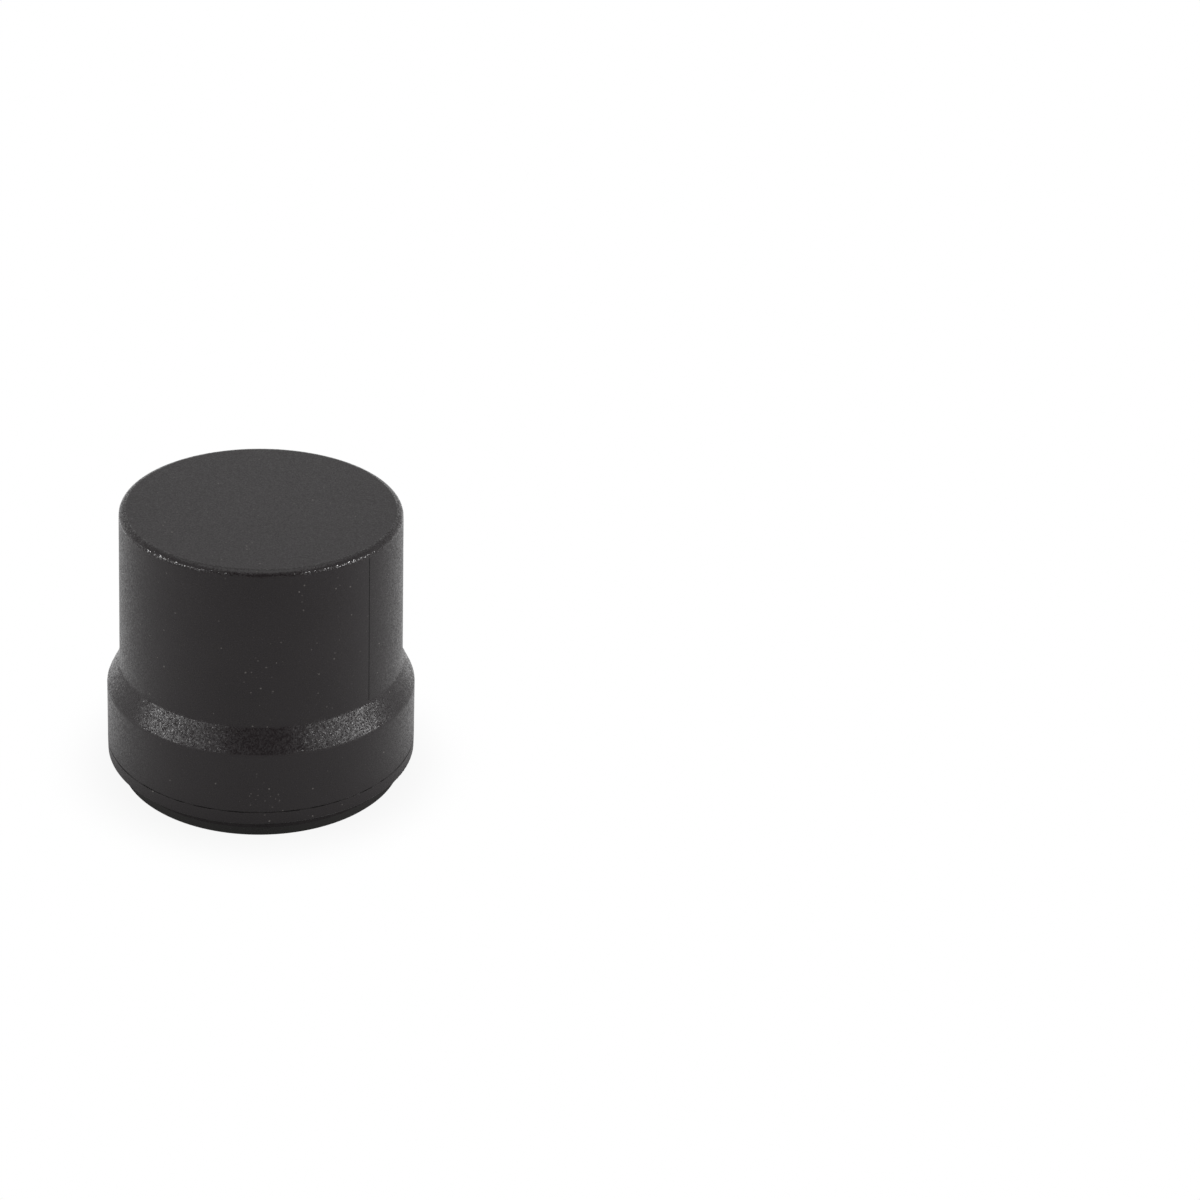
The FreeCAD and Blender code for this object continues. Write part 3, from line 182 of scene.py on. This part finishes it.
spot = add_node(tree, "ShaderNodeTexCoord")
away = add_node(tree, "ShaderNodeVectorMath", {"operation": "LENGTH"}, {0: (spot, "Object")})
fade = add_node(
    tree,
    "ShaderNodeMapRange",
    {"interpolation_type": "SMOOTHSTEP", "From Min": SHADOW_NEAR, "From Max": SHADOW_FAR},
    {"Value": (away, "Value")},
)
faint = add_node(tree, "ShaderNodeMapRange", {"To Min": SHADOW_SHARE}, {"Value": (fade, "Result")})
ray, mirrored = trace_mirrors(tree)
in_mirrors = add_node(
    tree,
    "ShaderNodeMath",
    {"operation": "MULTIPLY"},
    {0: (mirrored, "Value"), 1: (fade, "Result")},
)
in_sight = add_node(
    tree,
    "ShaderNodeMath",
    {"operation": "MULTIPLY"},
    {0: (ray, "Is Camera Ray"), 1: (faint, "Result")},
)
bright = add_node(
    tree,
    "ShaderNodeMath",
    {"operation": "MAXIMUM"},
    {0: (in_sight, "Value"), 1: (in_mirrors, "Value")},
)
# The paper's colour holds a painted shadow: grey near the antenna, near-white beyond SHADOW_FAR
painted_shadow_paper = add_node(
    tree,
    "ShaderNodeMix",
    {"data_type": "RGBA", "A": linear("#7c7c7c"), "B": linear("#f4f4f4")},
    {"Factor": (fade, "Result")},
)
matt = add_node(tree, "ShaderNodeBsdfDiffuse", links={"Color": (painted_shadow_paper, "Result")})
glow = add_node(tree, "ShaderNodeEmission", {"Color": (1, 1, 1, 1), "Strength": 1.0})
surface = add_node(
    tree,
    "ShaderNodeMixShader",
    links={0: (bright, "Value"), 1: (matt, "BSDF"), 2: (glow, "Emission")},
)
add_node(tree, "ShaderNodeOutputMaterial", links={"Surface": (surface, "Shader")})
sheet.materials.append(paper)


# The radome: the upper housing, moulded in black weather-proof ABS. The mould was spark-eroded,
# which leaves a fine even grain, and its two halves leave a hairline down the upper wall.
def start_material(name):
    """A new node material with a Principled shader wired to its output."""
    material = bpy.data.materials.new(name)
    material.use_nodes = True
    tree = material.node_tree
    tree.nodes.clear()
    shader = add_node(tree, "ShaderNodeBsdfPrincipled")
    add_node(tree, "ShaderNodeOutputMaterial", links={"Surface": (shader, "BSDF")})
    where = add_node(tree, "ShaderNodeTexCoord")
    return material, tree, shader, where


def dress(node, material):
    """Gives a CAD node this material in each of its slots."""
    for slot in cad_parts[node].material_slots:
        slot.material = material


def mottle(tree, where, patch, dark, light, detail=2.0):
    """Noise with patches of the given size, and the colour that it shades from dark to light."""
    patches = add_node(
        tree,
        "ShaderNodeTexNoise",
        {"Scale": 1 / patch, "Detail": detail},
        {"Vector": (where, "Object")},
    )
    colour = add_node(tree, "ShaderNodeValToRGB", links={"Fac": (patches, "Fac")})
    colour.color_ramp.elements[0].color = linear(dark)
    colour.color_ramp.elements[1].color = linear(light)
    return patches, colour


def dots(tree, where, cell, radius, centre, reach, most, least):
    """Round dots, each in the middle of a Voronoi cell. The share of cells with a dot falls from
    most at the centre to least at its reach. Gives three chances for each cell, and the dots."""
    cells = add_node(
        tree, "ShaderNodeTexVoronoi", {"Scale": 1 / cell}, {"Vector": (where, "Object")}
    )
    chances = add_node(tree, "ShaderNodeSeparateColor", links={"Color": (cells, "Color")})
    near = add_node(
        tree,
        "ShaderNodeMath",
        {"operation": "LESS_THAN", 1: radius / cell},
        {0: (cells, "Distance")},
    )
    away = add_node(
        tree, "ShaderNodeVectorMath", {"operation": "DISTANCE", 1: centre}, {0: (where, "Object")}
    )
    share = add_node(
        tree,
        "ShaderNodeMapRange",
        {"From Max": reach, "To Min": most, "To Max": least},
        {"Value": (away, "Value")},
    )
    chosen = add_node(
        tree,
        "ShaderNodeMath",
        {"operation": "LESS_THAN"},
        {0: (chances, "Green"), 1: (share, "Result")},
    )
    dot = add_node(
        tree,
        "ShaderNodeMath",
        {"operation": "MULTIPLY"},
        {0: (near, "Value"), 1: (chosen, "Value")},
    )
    return chances, dot


def black_moulding(name):
    """ABS as it leaves a spark-eroded mould: near-black, satin, with a sparkle in its grain."""
    material, tree, shader, where = start_material(name)
    shader.inputs["IOR"].default_value = 1.50
    shader.inputs["Sheen Weight"].default_value = 0.025
    shader.inputs["Sheen Roughness"].default_value = 0.5

    # The melt's flow leaves clouds a few millimetres wide that are hardly darker than the rest
    cloud = 8e-3
    _, colour = mottle(tree, where, cloud, "#171415", "#1c191a", detail=3.0)

    # Specks of dust up to 0.26 mm across, at most one in a cell of 1.1 mm, some pale and some
    # hardly seen. Most lie on the right of the upper wall's front, and they are rare elsewhere
    cell, speck_radius = 1.1e-3, 0.13e-3
    dusty_side, dust_reach, dust_most, dust_least = (8.0e-3, -20.2e-3, 31.0e-3), 15e-3, 0.85, 0.18
    chances, speck = dots(
        tree, where, cell, speck_radius, dusty_side, dust_reach, dust_most, dust_least
    )
    pale = add_node(
        tree,
        "ShaderNodeMath",
        {"operation": "MULTIPLY"},
        {0: (chances, "Red"), 1: (speck, "Value")},
    )
    dusty = add_node(
        tree,
        "ShaderNodeMix",
        {"data_type": "RGBA", "B": linear("#4f4c4a")},
        {"Factor": (pale, "Value"), "A": (colour, "Color")},
    )

    # A rub at the front of the skirt left a cluster of finer scuffs, thinning out from its centre
    rub, rub_reach, rub_most = (0.5e-3, -24.1e-3, 7.9e-3), 2.9e-3, 0.55
    rub_cell, scuff_radius = 0.5e-3, 0.12e-3
    _, scuff = dots(tree, where, rub_cell, scuff_radius, rub, rub_reach, rub_most, least=0.0)
    scuffed = add_node(
        tree,
        "ShaderNodeMix",
        {"data_type": "RGBA", "B": linear("#3b3837")},
        {"Factor": (scuff, "Value"), "A": (dusty, "Result")},
    )

    # Dirt and painted shade darken the joint of the two mouldings, thicker in some places, and take
    # away their gloss. They keep to the outside, where the joint is at least the groove's radius
    # from the axis
    joint, groove, groove_radius, drift = 5.5e-3, 0.10e-3, 23.95e-3, 3e-3
    gloss, dirt_and_shade_gloss = 0.17, 0.01
    place = add_node(tree, "ShaderNodeSeparateXYZ", links={"Vector": (where, "Object")})
    at_joint = add_node(
        tree, "ShaderNodeMath", {"operation": "COMPARE", 1: joint, 2: groove}, {0: (place, "Z")}
    )
    beside = add_node(
        tree,
        "ShaderNodeVectorMath",
        {"operation": "MULTIPLY", 1: (1, 1, 0)},
        {0: (where, "Object")},
    )
    from_axis = add_node(
        tree, "ShaderNodeVectorMath", {"operation": "LENGTH"}, {0: (beside, "Vector")}
    )
    outside = add_node(
        tree,
        "ShaderNodeMath",
        {"operation": "GREATER_THAN", 1: groove_radius},
        {0: (from_axis, "Value")},
    )
    in_groove = add_node(
        tree,
        "ShaderNodeMath",
        {"operation": "MULTIPLY"},
        {0: (at_joint, "Value"), 1: (outside, "Value")},
    )
    drifts = add_node(
        tree, "ShaderNodeTexNoise", {"Scale": 1 / drift}, {"Vector": (where, "Object")}
    )
    depth = add_node(
        tree,
        "ShaderNodeMapRange",
        {"From Min": 0.42, "From Max": 0.60, "To Max": 0.8},
        {"Value": (drifts, "Fac")},
    )
    dirt_and_shade = add_node(
        tree,
        "ShaderNodeMath",
        {"operation": "MULTIPLY"},
        {0: (in_groove, "Value"), 1: (depth, "Result")},
    )
    # Painted shade and dirt: the colour goes near-black in the joint
    soiled_and_shaded = add_node(
        tree,
        "ShaderNodeMix",
        {"data_type": "RGBA", "B": linear("#070606")},
        {"Factor": (dirt_and_shade, "Value"), "A": (scuffed, "Result")},
    )
    tree.links.new(soiled_and_shaded.outputs["Result"], shader.inputs["Base Color"])
    shine = add_node(
        tree,
        "ShaderNodeMapRange",
        {"To Min": gloss, "To Max": dirt_and_shade_gloss},
        {"Value": (dirt_and_shade, "Value")},
    )
    tree.links.new(shine.outputs["Result"], shader.inputs["Specular IOR Level"])

    # The eroded skin is a patchwork of facets, each tilted its own way and some smoother than
    # others. They are 0.18 mm here, twice as coarse as real ones, so that they show as points of
    # light. Each zone up the moulding has its lowest height, its lean, and its smoothest and
    # roughest facets: the spark bit deeper on the slope of the shoulder and deepest round the
    # roof's edge, and the roof came from a finer insert
    facet, top = 0.18e-3, 45.2e-3
    skirt, shoulder = (0.0, 0.07, 0.25, 0.55), (15.4e-3, 0.18, 0.06, 0.55)
    wall = (19.5e-3, 0.07, 0.25, 0.55)
    roof_edge, roof = (44.0e-3, 0.30, 0.05, 0.32), (45.05e-3, 0.05, 0.39, 0.63)
    facets = add_node(
        tree, "ShaderNodeTexVoronoi", {"Scale": 1 / facet}, {"Vector": (where, "Object")}
    )
    swing = add_node(
        tree,
        "ShaderNodeVectorMath",
        {"operation": "SUBTRACT", 1: (0.5, 0.5, 0.5)},
        {0: (facets, "Color")},
    )
    height = add_node(
        tree, "ShaderNodeMapRange", {"From Max": top}, {"Value": (place, "Z")}
    )
    grain = add_node(tree, "ShaderNodeValToRGB", links={"Fac": (height, "Result")})
    grain.color_ramp.interpolation = "CONSTANT"
    grain.color_ramp.elements.remove(grain.color_ramp.elements[1])
    grain.color_ramp.elements[0].color = (*skirt[1:], 1)
    for start, *kind in (shoulder, wall, roof_edge, roof):
        grain.color_ramp.elements.new(start / top).color = (*kind, 1)
    zone = add_node(tree, "ShaderNodeSeparateColor", links={"Color": (grain, "Color")})
    lean = add_node(
        tree,
        "ShaderNodeVectorMath",
        {"operation": "SCALE"},
        {0: (swing, "Vector"), "Scale": (zone, "Red")},
    )
    geometry = add_node(tree, "ShaderNodeNewGeometry")
    tilted = add_node(
        tree,
        "ShaderNodeVectorMath",
        {"operation": "ADD"},
        {0: (geometry, "Normal"), 1: (lean, "Vector")},
    )
    facing = add_node(
        tree, "ShaderNodeVectorMath", {"operation": "NORMALIZE"}, {0: (tilted, "Vector")}
    )
    tree.links.new(facing.outputs["Vector"], shader.inputs["Normal"])
    kinds = add_node(tree, "ShaderNodeSeparateColor", links={"Color": (facets, "Color")})
    polish = add_node(
        tree,
        "ShaderNodeMapRange",
        links={"Value": (kinds, "Blue"), "To Min": (zone, "Green"), "To Max": (zone, "Blue")},
    )
    tree.links.new(polish.outputs["Result"], shader.inputs["Roughness"])
    return material


dress("radome", black_moulding("spark_eroded_abs_radome"))


# The parting lines: hairlines of flash down the upper wall where the two halves of the mould met,
# one on each side. They stand a few hundredths of a millimetre proud and catch no light.
def surface_piece(name, points, material, smooth=True):
    """A closed mesh from a grid of points (rows, columns, 3): each row is a ring, joined to the
    next by quads, and the first and last rings are closed by one face each."""
    rows, columns = points.shape[:2]
    row, column = np.meshgrid(np.arange(rows - 1), np.arange(columns), indexing="ij")
    beside = (column + 1) % columns
    quads = np.stack(
        [
            row * columns + column,
            row * columns + beside,
            (row + 1) * columns + beside,
            (row + 1) * columns + column,
        ],
        axis=-1,
    )
    faces = quads.reshape(-1, 4).tolist()
    faces.append(np.arange(columns)[::-1].tolist())
    faces.append(((rows - 1) * columns + np.arange(columns)).tolist())
    mesh = bpy.data.meshes.new(name)
    mesh.from_pydata(points.reshape(-1, 3).tolist(), [], faces)
    if smooth:
        mesh.shade_smooth()
    else:
        mesh.shade_flat()
    mesh.materials.append(material)
    piece = bpy.data.objects.new(name, mesh)
    scene.collection.objects.link(piece)
    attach(piece, "root")


def flash_line(azimuth):
    """Height runs up the wall in even steps; radius = the wall's radius there + the profile's
    lift, and angle = azimuth + the profile's side / the wall's radius. The profile has four
    points over the ridge and two sunk into the wall."""
    low, high, wall_low, wall_top = 19.8e-3, 44.0e-3, 21.993e-3, 21.485e-3
    half_width, proud, sunk, rings = 0.07e-3, 0.03e-3, 0.10e-3, 60
    height = np.linspace(low, high, rings)[:, None]
    wall = wall_low + (wall_top - wall_low) * (height - low) / (high - low)
    side = np.array([-1.0, -0.5, 0.5, 1.0, 1.0, -1.0])[None, :] * half_width
    lift = np.array([0.0, proud, proud, 0.0, -sunk, -sunk])[None, :]
    radius = wall + lift
    angle = azimuth + side / wall
    return np.stack(
        [radius * np.sin(angle), -radius * np.cos(angle), np.broadcast_to(height, radius.shape)],
        axis=-1,
    )


def flash_plastic():
    """The same ABS pressed out at the mould's edge: thin, darker and without the eroded grain."""
    material, tree, shader, where = start_material("abs_flash")
    shader.inputs["Roughness"].default_value = 0.8
    shader.inputs["Specular IOR Level"].default_value = 0.12
    waver = 1.5e-3
    _, colour = mottle(tree, where, waver, "#0b0b0b", "#161515")
    tree.links.new(colour.outputs["Color"], shader.inputs["Base Color"])
    return material


thin_flash = flash_plastic()
PARTING_AZIMUTH = radians(47.2)
for number, azimuth in enumerate((PARTING_AZIMUTH, PARTING_AZIMUTH + pi)):
    surface_piece(f"parting_line_{number}", flash_line(azimuth), thin_flash)


# The base: the lower housing, moulded in the same black ABS, with the connector well underneath.
# Its spigot, ribs and pillars leave the mould with the same grain.
dress("base", black_moulding("spark_eroded_abs_base"))


# The mounting gasket: a ring moulded in black rubber, pressed into the foot by its tongue. Rubber
# is matt, a little grey with bloom, and finely pitted.
def black_rubber(name, dark, bloom, pit):
    """Moulded rubber: little gloss, a dusty bloom in patches, and pits of the given size."""
    material, tree, shader, where = start_material(name)
    shader.inputs["IOR"].default_value = 1.52
    shader.inputs["Specular IOR Level"].default_value = 0.2
    patch = 5e-3
    patches, colour = mottle(tree, where, patch, dark, bloom, detail=4.0)
    tree.links.new(colour.outputs["Color"], shader.inputs["Base Color"])
    gloss = add_node(
        tree, "ShaderNodeMapRange", {"To Min": 0.7, "To Max": 0.9}, {"Value": (patches, "Fac")}
    )
    tree.links.new(gloss.outputs["Result"], shader.inputs["Roughness"])
    pits = add_node(
        tree, "ShaderNodeTexNoise", {"Scale": 1 / pit}, {"Vector": (where, "Object")}
    )
    relief = add_node(
        tree, "ShaderNodeBump", {"Strength": 0.6, "Distance": 0.04e-3}, {"Height": (pits, "Fac")}
    )
    tree.links.new(relief.outputs["Normal"], shader.inputs["Normal"])
    return material


gasket_rubber = black_rubber("moulded_rubber_gasket", "#191818", "#21201f", pit=0.3e-3)
dress("mounting_gasket", gasket_rubber)


# The housing seal and the ring under the plug's flange: bought O-rings in nitrile rubber, smooth
# from their mould and lightly greased.
o_ring = black_rubber("nitrile_o_ring", "#101011", "#1a1a1b", pit=0.5e-3)
o_ring.node_tree.nodes["Principled BSDF"].inputs["Coat Weight"].default_value = 0.3
dress("housing_seal", o_ring)
dress("plug_seal", o_ring)


# The housing screws and board screws: thread-forming pan heads in zinc-plated steel, cold-headed
# and barrel-plated, so the plate is bluish and a little cloudy.
def plated_metal(name, dark, light, roughness, cloud, scratch):
    """A plated, polished or turned metal: clouds of two near shades, and fine marks in relief
    that are six times as wide as they are high."""
    material, tree, shader, where = start_material(name)
    shader.inputs["Metallic"].default_value = 1.0
    clouds, colour = mottle(tree, where, cloud, dark, light, detail=3.0)
    tree.links.new(colour.outputs["Color"], shader.inputs["Base Color"])
    gloss = add_node(
        tree,
        "ShaderNodeMapRange",
        {"To Min": roughness * 0.7, "To Max": roughness * 1.4},
        {"Value": (clouds, "Fac")},
    )
    tree.links.new(gloss.outputs["Result"], shader.inputs["Roughness"])
    stretched = add_node(
        tree,
        "ShaderNodeMapping",
        {"Scale": (1 / scratch, 1 / scratch, 6 / scratch)},
        {"Vector": (where, "Object")},
    )
    marks = add_node(
        tree, "ShaderNodeTexNoise", {"Scale": 1.0, "Detail": 2.0}, {"Vector": (stretched, "Vector")}
    )
    relief = add_node(
        tree, "ShaderNodeBump", {"Strength": 0.3, "Distance": 0.01e-3}, {"Height": (marks, "Fac")}
    )
    tree.links.new(relief.outputs["Normal"], shader.inputs["Normal"])
    return material


zinc = plated_metal(
    "zinc_plated_steel", "#9a9ea3", "#c9ccd0", roughness=0.28, cloud=2e-3, scratch=0.3e-3
)
dress("housing_screws", zinc)
dress("board_screws", zinc)


# The plug: a turned brass shell plated with gold over nickel. The whole antenna turns to run its
# inner thread on to the panel's jack, so the thread shows in the mouth of the coupling.
gold = plated_metal(
    "gold_plated_brass", "#c79a4b", "#e3bd72", roughness=0.22, cloud=3e-3, scratch=0.25e-3
)
dress("plug_shell", gold)
dress("plug_body", gold)


def inner_thread(root, crest, pitch, low, high):
    """A right-hand helix over t turns: angle = 2 pi t, height = low + pitch (t + 1/2) + the
    profile's rise, radius = crest at the profile's middle and a little over root at its sides.
    The crest fades into the root over the last half turn at each end."""
    steps_a_turn, fade_turns, sunk = 48, 0.5, 0.05e-3
    crest_half, root_half = 0.07, 0.46
    turns = (high - low) / pitch - 1
    along = np.linspace(0, turns, int(steps_a_turn * turns) + 1)[:, None]
    fade = np.clip(np.minimum(along, turns - along) / fade_turns, 0, 1)
    depth = (root - crest) * fade
    inward = np.array([0.0, 1.0, 1.0, 0.0])[None, :]
    radius = root - depth * inward + sunk * (1 - inward)
    rise = np.array([-root_half, -crest_half, crest_half, root_half])[None, :] * pitch
    height = low + pitch / 2 + pitch * along + rise
    angle = 2 * pi * along
    return np.stack([radius * np.cos(angle), radius * np.sin(angle), height], axis=-1)


ridge = inner_thread(root=3.175e-3, crest=2.78e-3, pitch=0.7056e-3, low=4.8e-3, high=8.35e-3)
surface_piece("coupling_thread", ridge, gold, smooth=False)
bronze = plated_metal(
    "tinned_bronze", "#a9a49a", "#cdc8bd", roughness=0.3, cloud=1.5e-3, scratch=0.2e-3
)
dress("plug_lock_washer", bronze)
nickel = plated_metal(
    "nickel_plated_brass", "#a39c8e", "#c9c2b3", roughness=0.2, cloud=3e-3, scratch=0.3e-3
)
dress("plug_locknut", nickel)


# The plug's contact pin is beryllium copper under thin gold, the insulator is turned from white
# fluoroplastic, and a silicone ring at the bottom of the thread keeps the water out.
thin_gold = plated_metal(
    "gold_plated_contact", "#cfa04a", "#edc777", roughness=0.15, cloud=1e-3, scratch=0.15e-3
)
dress("plug_pin", thin_gold)


def milky_plastic(name, dark, light, roughness, patch, scatter):
    """A waxy moulded or turned plastic that light enters a little, faintly mottled."""
    material, tree, shader, where = start_material(name)
    shader.inputs["Roughness"].default_value = roughness
    shader.inputs["IOR"].default_value = 1.40
    shader.inputs["Subsurface Weight"].default_value = scatter
    shader.inputs["Subsurface Scale"].default_value = 0.6e-3
    _, colour = mottle(tree, where, patch, dark, light, detail=3.0)
    tree.links.new(colour.outputs["Color"], shader.inputs["Base Color"])
    return material


turned_white = milky_plastic(
    "turned_fluoroplastic", "#dcdad3", "#efeee9", roughness=0.42, patch=1e-3, scatter=0.2
)
dress("plug_dielectric", turned_white)
silicone = milky_plastic(
    "silicone_ring", "#a8402e", "#bd5040", roughness=0.5, patch=1.2e-3, scatter=0.3
)
dress("mating_seal", silicone)


# The inner cable: a thin coaxial lead with a fluoroplastic jacket, sleeved where it leaves the
# plug, with a small snap-on plug that presses on to its socket on the board.
jacket = milky_plastic(
    "cable_jacket", "#7b4a2a", "#8f5a36", roughness=0.35, patch=2e-3, scatter=0.1
)
dress("inner_cable", jacket)
sleeve = black_rubber("heat_shrink_sleeve", "#131314", "#1e1e20", pit=0.4e-3)
dress("heat_shrink_sleeve", sleeve)
tinned_brass = plated_metal(
    "tinned_brass_plug", "#a8a49b", "#cfccc4", roughness=0.25, cloud=0.8e-3, scratch=0.1e-3
)
dress("cable_plug", tinned_brass)
socket_gold = plated_metal(
    "gold_socket", "#c49647", "#e0ba6c", roughness=0.25, cloud=0.8e-3, scratch=0.1e-3
)
dress("board_socket", socket_gold)


# The amplifier board: glass-epoxy laminate under green solder resist. The weave shows faintly
# through the resist as a check of crossed threads 0.5 mm apart, and the cut edges are bare.
def glass_laminate():
    """Solder resist over woven glass: two crossed waves, which repeat every pi / (10 Scale), lift
    the surface and shade the green. Where a face stands upright, the cut laminate shows buff."""
    material, tree, shader, where = start_material("solder_resist_laminate")
    thread, upright_from = 0.5e-3, 0.5
    shader.inputs["Roughness"].default_value = 0.32
    shader.inputs["Coat Weight"].default_value = 0.5
    weave = []
    for turn in (0.0, pi / 2):
        threads = add_node(
            tree,
            "ShaderNodeMapping",
            {"Rotation": (0, 0, turn)},
            {"Vector": (where, "Object")},
        )
        weave.append(
            add_node(
                tree,
                "ShaderNodeTexWave",
                {"Scale": pi / (10 * thread), "Distortion": 0.4},
                {"Vector": (threads, "Vector")},
            )
        )
    crossed = add_node(
        tree,
        "ShaderNodeMath",
        {"operation": "MULTIPLY"},
        {0: (weave[0], "Fac"), 1: (weave[1], "Fac")},
    )
    colour = add_node(tree, "ShaderNodeValToRGB", links={"Fac": (crossed, "Value")})
    colour.color_ramp.elements[0].color = linear("#12502e")
    colour.color_ramp.elements[1].color = linear("#165a34")
    geometry = add_node(tree, "ShaderNodeNewGeometry")
    facing = add_node(tree, "ShaderNodeSeparateXYZ", links={"Vector": (geometry, "Normal")})
    steepness = add_node(tree, "ShaderNodeMath", {"operation": "ABSOLUTE"}, {0: (facing, "Z")})
    flat = add_node(
        tree,
        "ShaderNodeMath",
        {"operation": "GREATER_THAN", 1: upright_from},
        {0: (steepness, "Value")},
    )
    cut = add_node(
        tree,
        "ShaderNodeMix",
        {"data_type": "RGBA", "A": linear("#a89f78")},
        {"Factor": (flat, "Value"), "B": (colour, "Color")},
    )
    tree.links.new(cut.outputs["Result"], shader.inputs["Base Color"])
    relief = add_node(
        tree,
        "ShaderNodeBump",
        {"Strength": 0.3, "Distance": 0.01e-3},
        {"Height": (crossed, "Value")},
    )
    tree.links.new(relief.outputs["Normal"], shader.inputs["Normal"])
    return material


dress("circuit_board", glass_laminate())


# The patch: a pressed block of buff ceramic with a fired silver square on its face, stuck down
# with foam tape. A pin soldered through its middle feeds it.
def silvered_ceramic():
    """Buff ceramic, and silver where the face is level with the top and inside the margin."""
    material, tree, shader, where = start_material("silvered_ceramic")
    silver_half, face, grain = 7.9e-3, 39.65e-3, 0.4e-3
    _, buff = mottle(tree, where, grain, "#a9906a", "#c0a880", detail=3.0)
    _, silver = mottle(tree, where, grain, "#b7b7b3", "#d4d4d0", detail=3.0)
    size = add_node(
        tree, "ShaderNodeVectorMath", {"operation": "ABSOLUTE"}, {0: (where, "Object")}
    )
    axes = add_node(tree, "ShaderNodeSeparateXYZ", links={"Vector": (size, "Vector")})
    widest = add_node(
        tree, "ShaderNodeMath", {"operation": "MAXIMUM"}, {0: (axes, "X"), 1: (axes, "Y")}
    )
    inside = add_node(
        tree, "ShaderNodeMath", {"operation": "LESS_THAN", 1: silver_half}, {0: (widest, "Value")}
    )
    on_top = add_node(
        tree, "ShaderNodeMath", {"operation": "GREATER_THAN", 1: face}, {0: (axes, "Z")}
    )
    printed = add_node(
        tree,
        "ShaderNodeMath",
        {"operation": "MULTIPLY"},
        {0: (inside, "Value"), 1: (on_top, "Value")},
    )
    colour = add_node(
        tree,
        "ShaderNodeMix",
        {"data_type": "RGBA"},
        {"Factor": (printed, "Value"), "A": (buff, "Color"), "B": (silver, "Color")},
    )
    tree.links.new(colour.outputs["Result"], shader.inputs["Base Color"])
    tree.links.new(printed.outputs["Value"], shader.inputs["Metallic"])
    gloss = add_node(
        tree, "ShaderNodeMapRange", {"To Min": 0.6, "To Max": 0.38}, {"Value": (printed, "Value")}
    )
    tree.links.new(gloss.outputs["Result"], shader.inputs["Roughness"])
    return material


dress("patch_antenna", silvered_ceramic())
dress("patch_adhesive", black_rubber("foam_tape", "#d0cfca", "#e4e3de", pit=0.2e-3))
tinned = plated_metal(
    "tinned_pin", "#a9a9a6", "#d0d0cc", roughness=0.3, cloud=0.6e-3, scratch=0.1e-3
)
dress("feed_pin", tinned)


# The shield: a fence and lid pressed from tinned steel sheet. Under it lie the filter in its
# ceramic case, two amplifier chips, the regulator and the small chip parts.
tinplate = plated_metal(
    "tinned_steel_sheet", "#a5a7a8", "#cbccca", roughness=0.3, cloud=2.5e-3, scratch=0.4e-3
)
dress("shield_frame", tinplate)
dress("shield_lid", tinplate)
filter_ceramic = milky_plastic(
    "filter_ceramic", "#c9c2ae", "#ddd7c6", roughness=0.5, patch=0.6e-3, scatter=0.0
)
dress("band_filter", filter_ceramic)
chip_epoxy = black_rubber("moulded_epoxy_chips", "#17171a", "#222226", pit=0.15e-3)
dress("amplifier_chips", chip_epoxy)
regulator_epoxy = black_rubber("moulded_epoxy_regulator", "#161618", "#202022", pit=0.15e-3)
dress("voltage_regulator", regulator_epoxy)
chip_ceramic = milky_plastic(
    "chip_ceramic", "#8d7a5c", "#a8947a", roughness=0.5, patch=0.5e-3, scatter=0.0
)
dress("chip_parts", chip_ceramic)
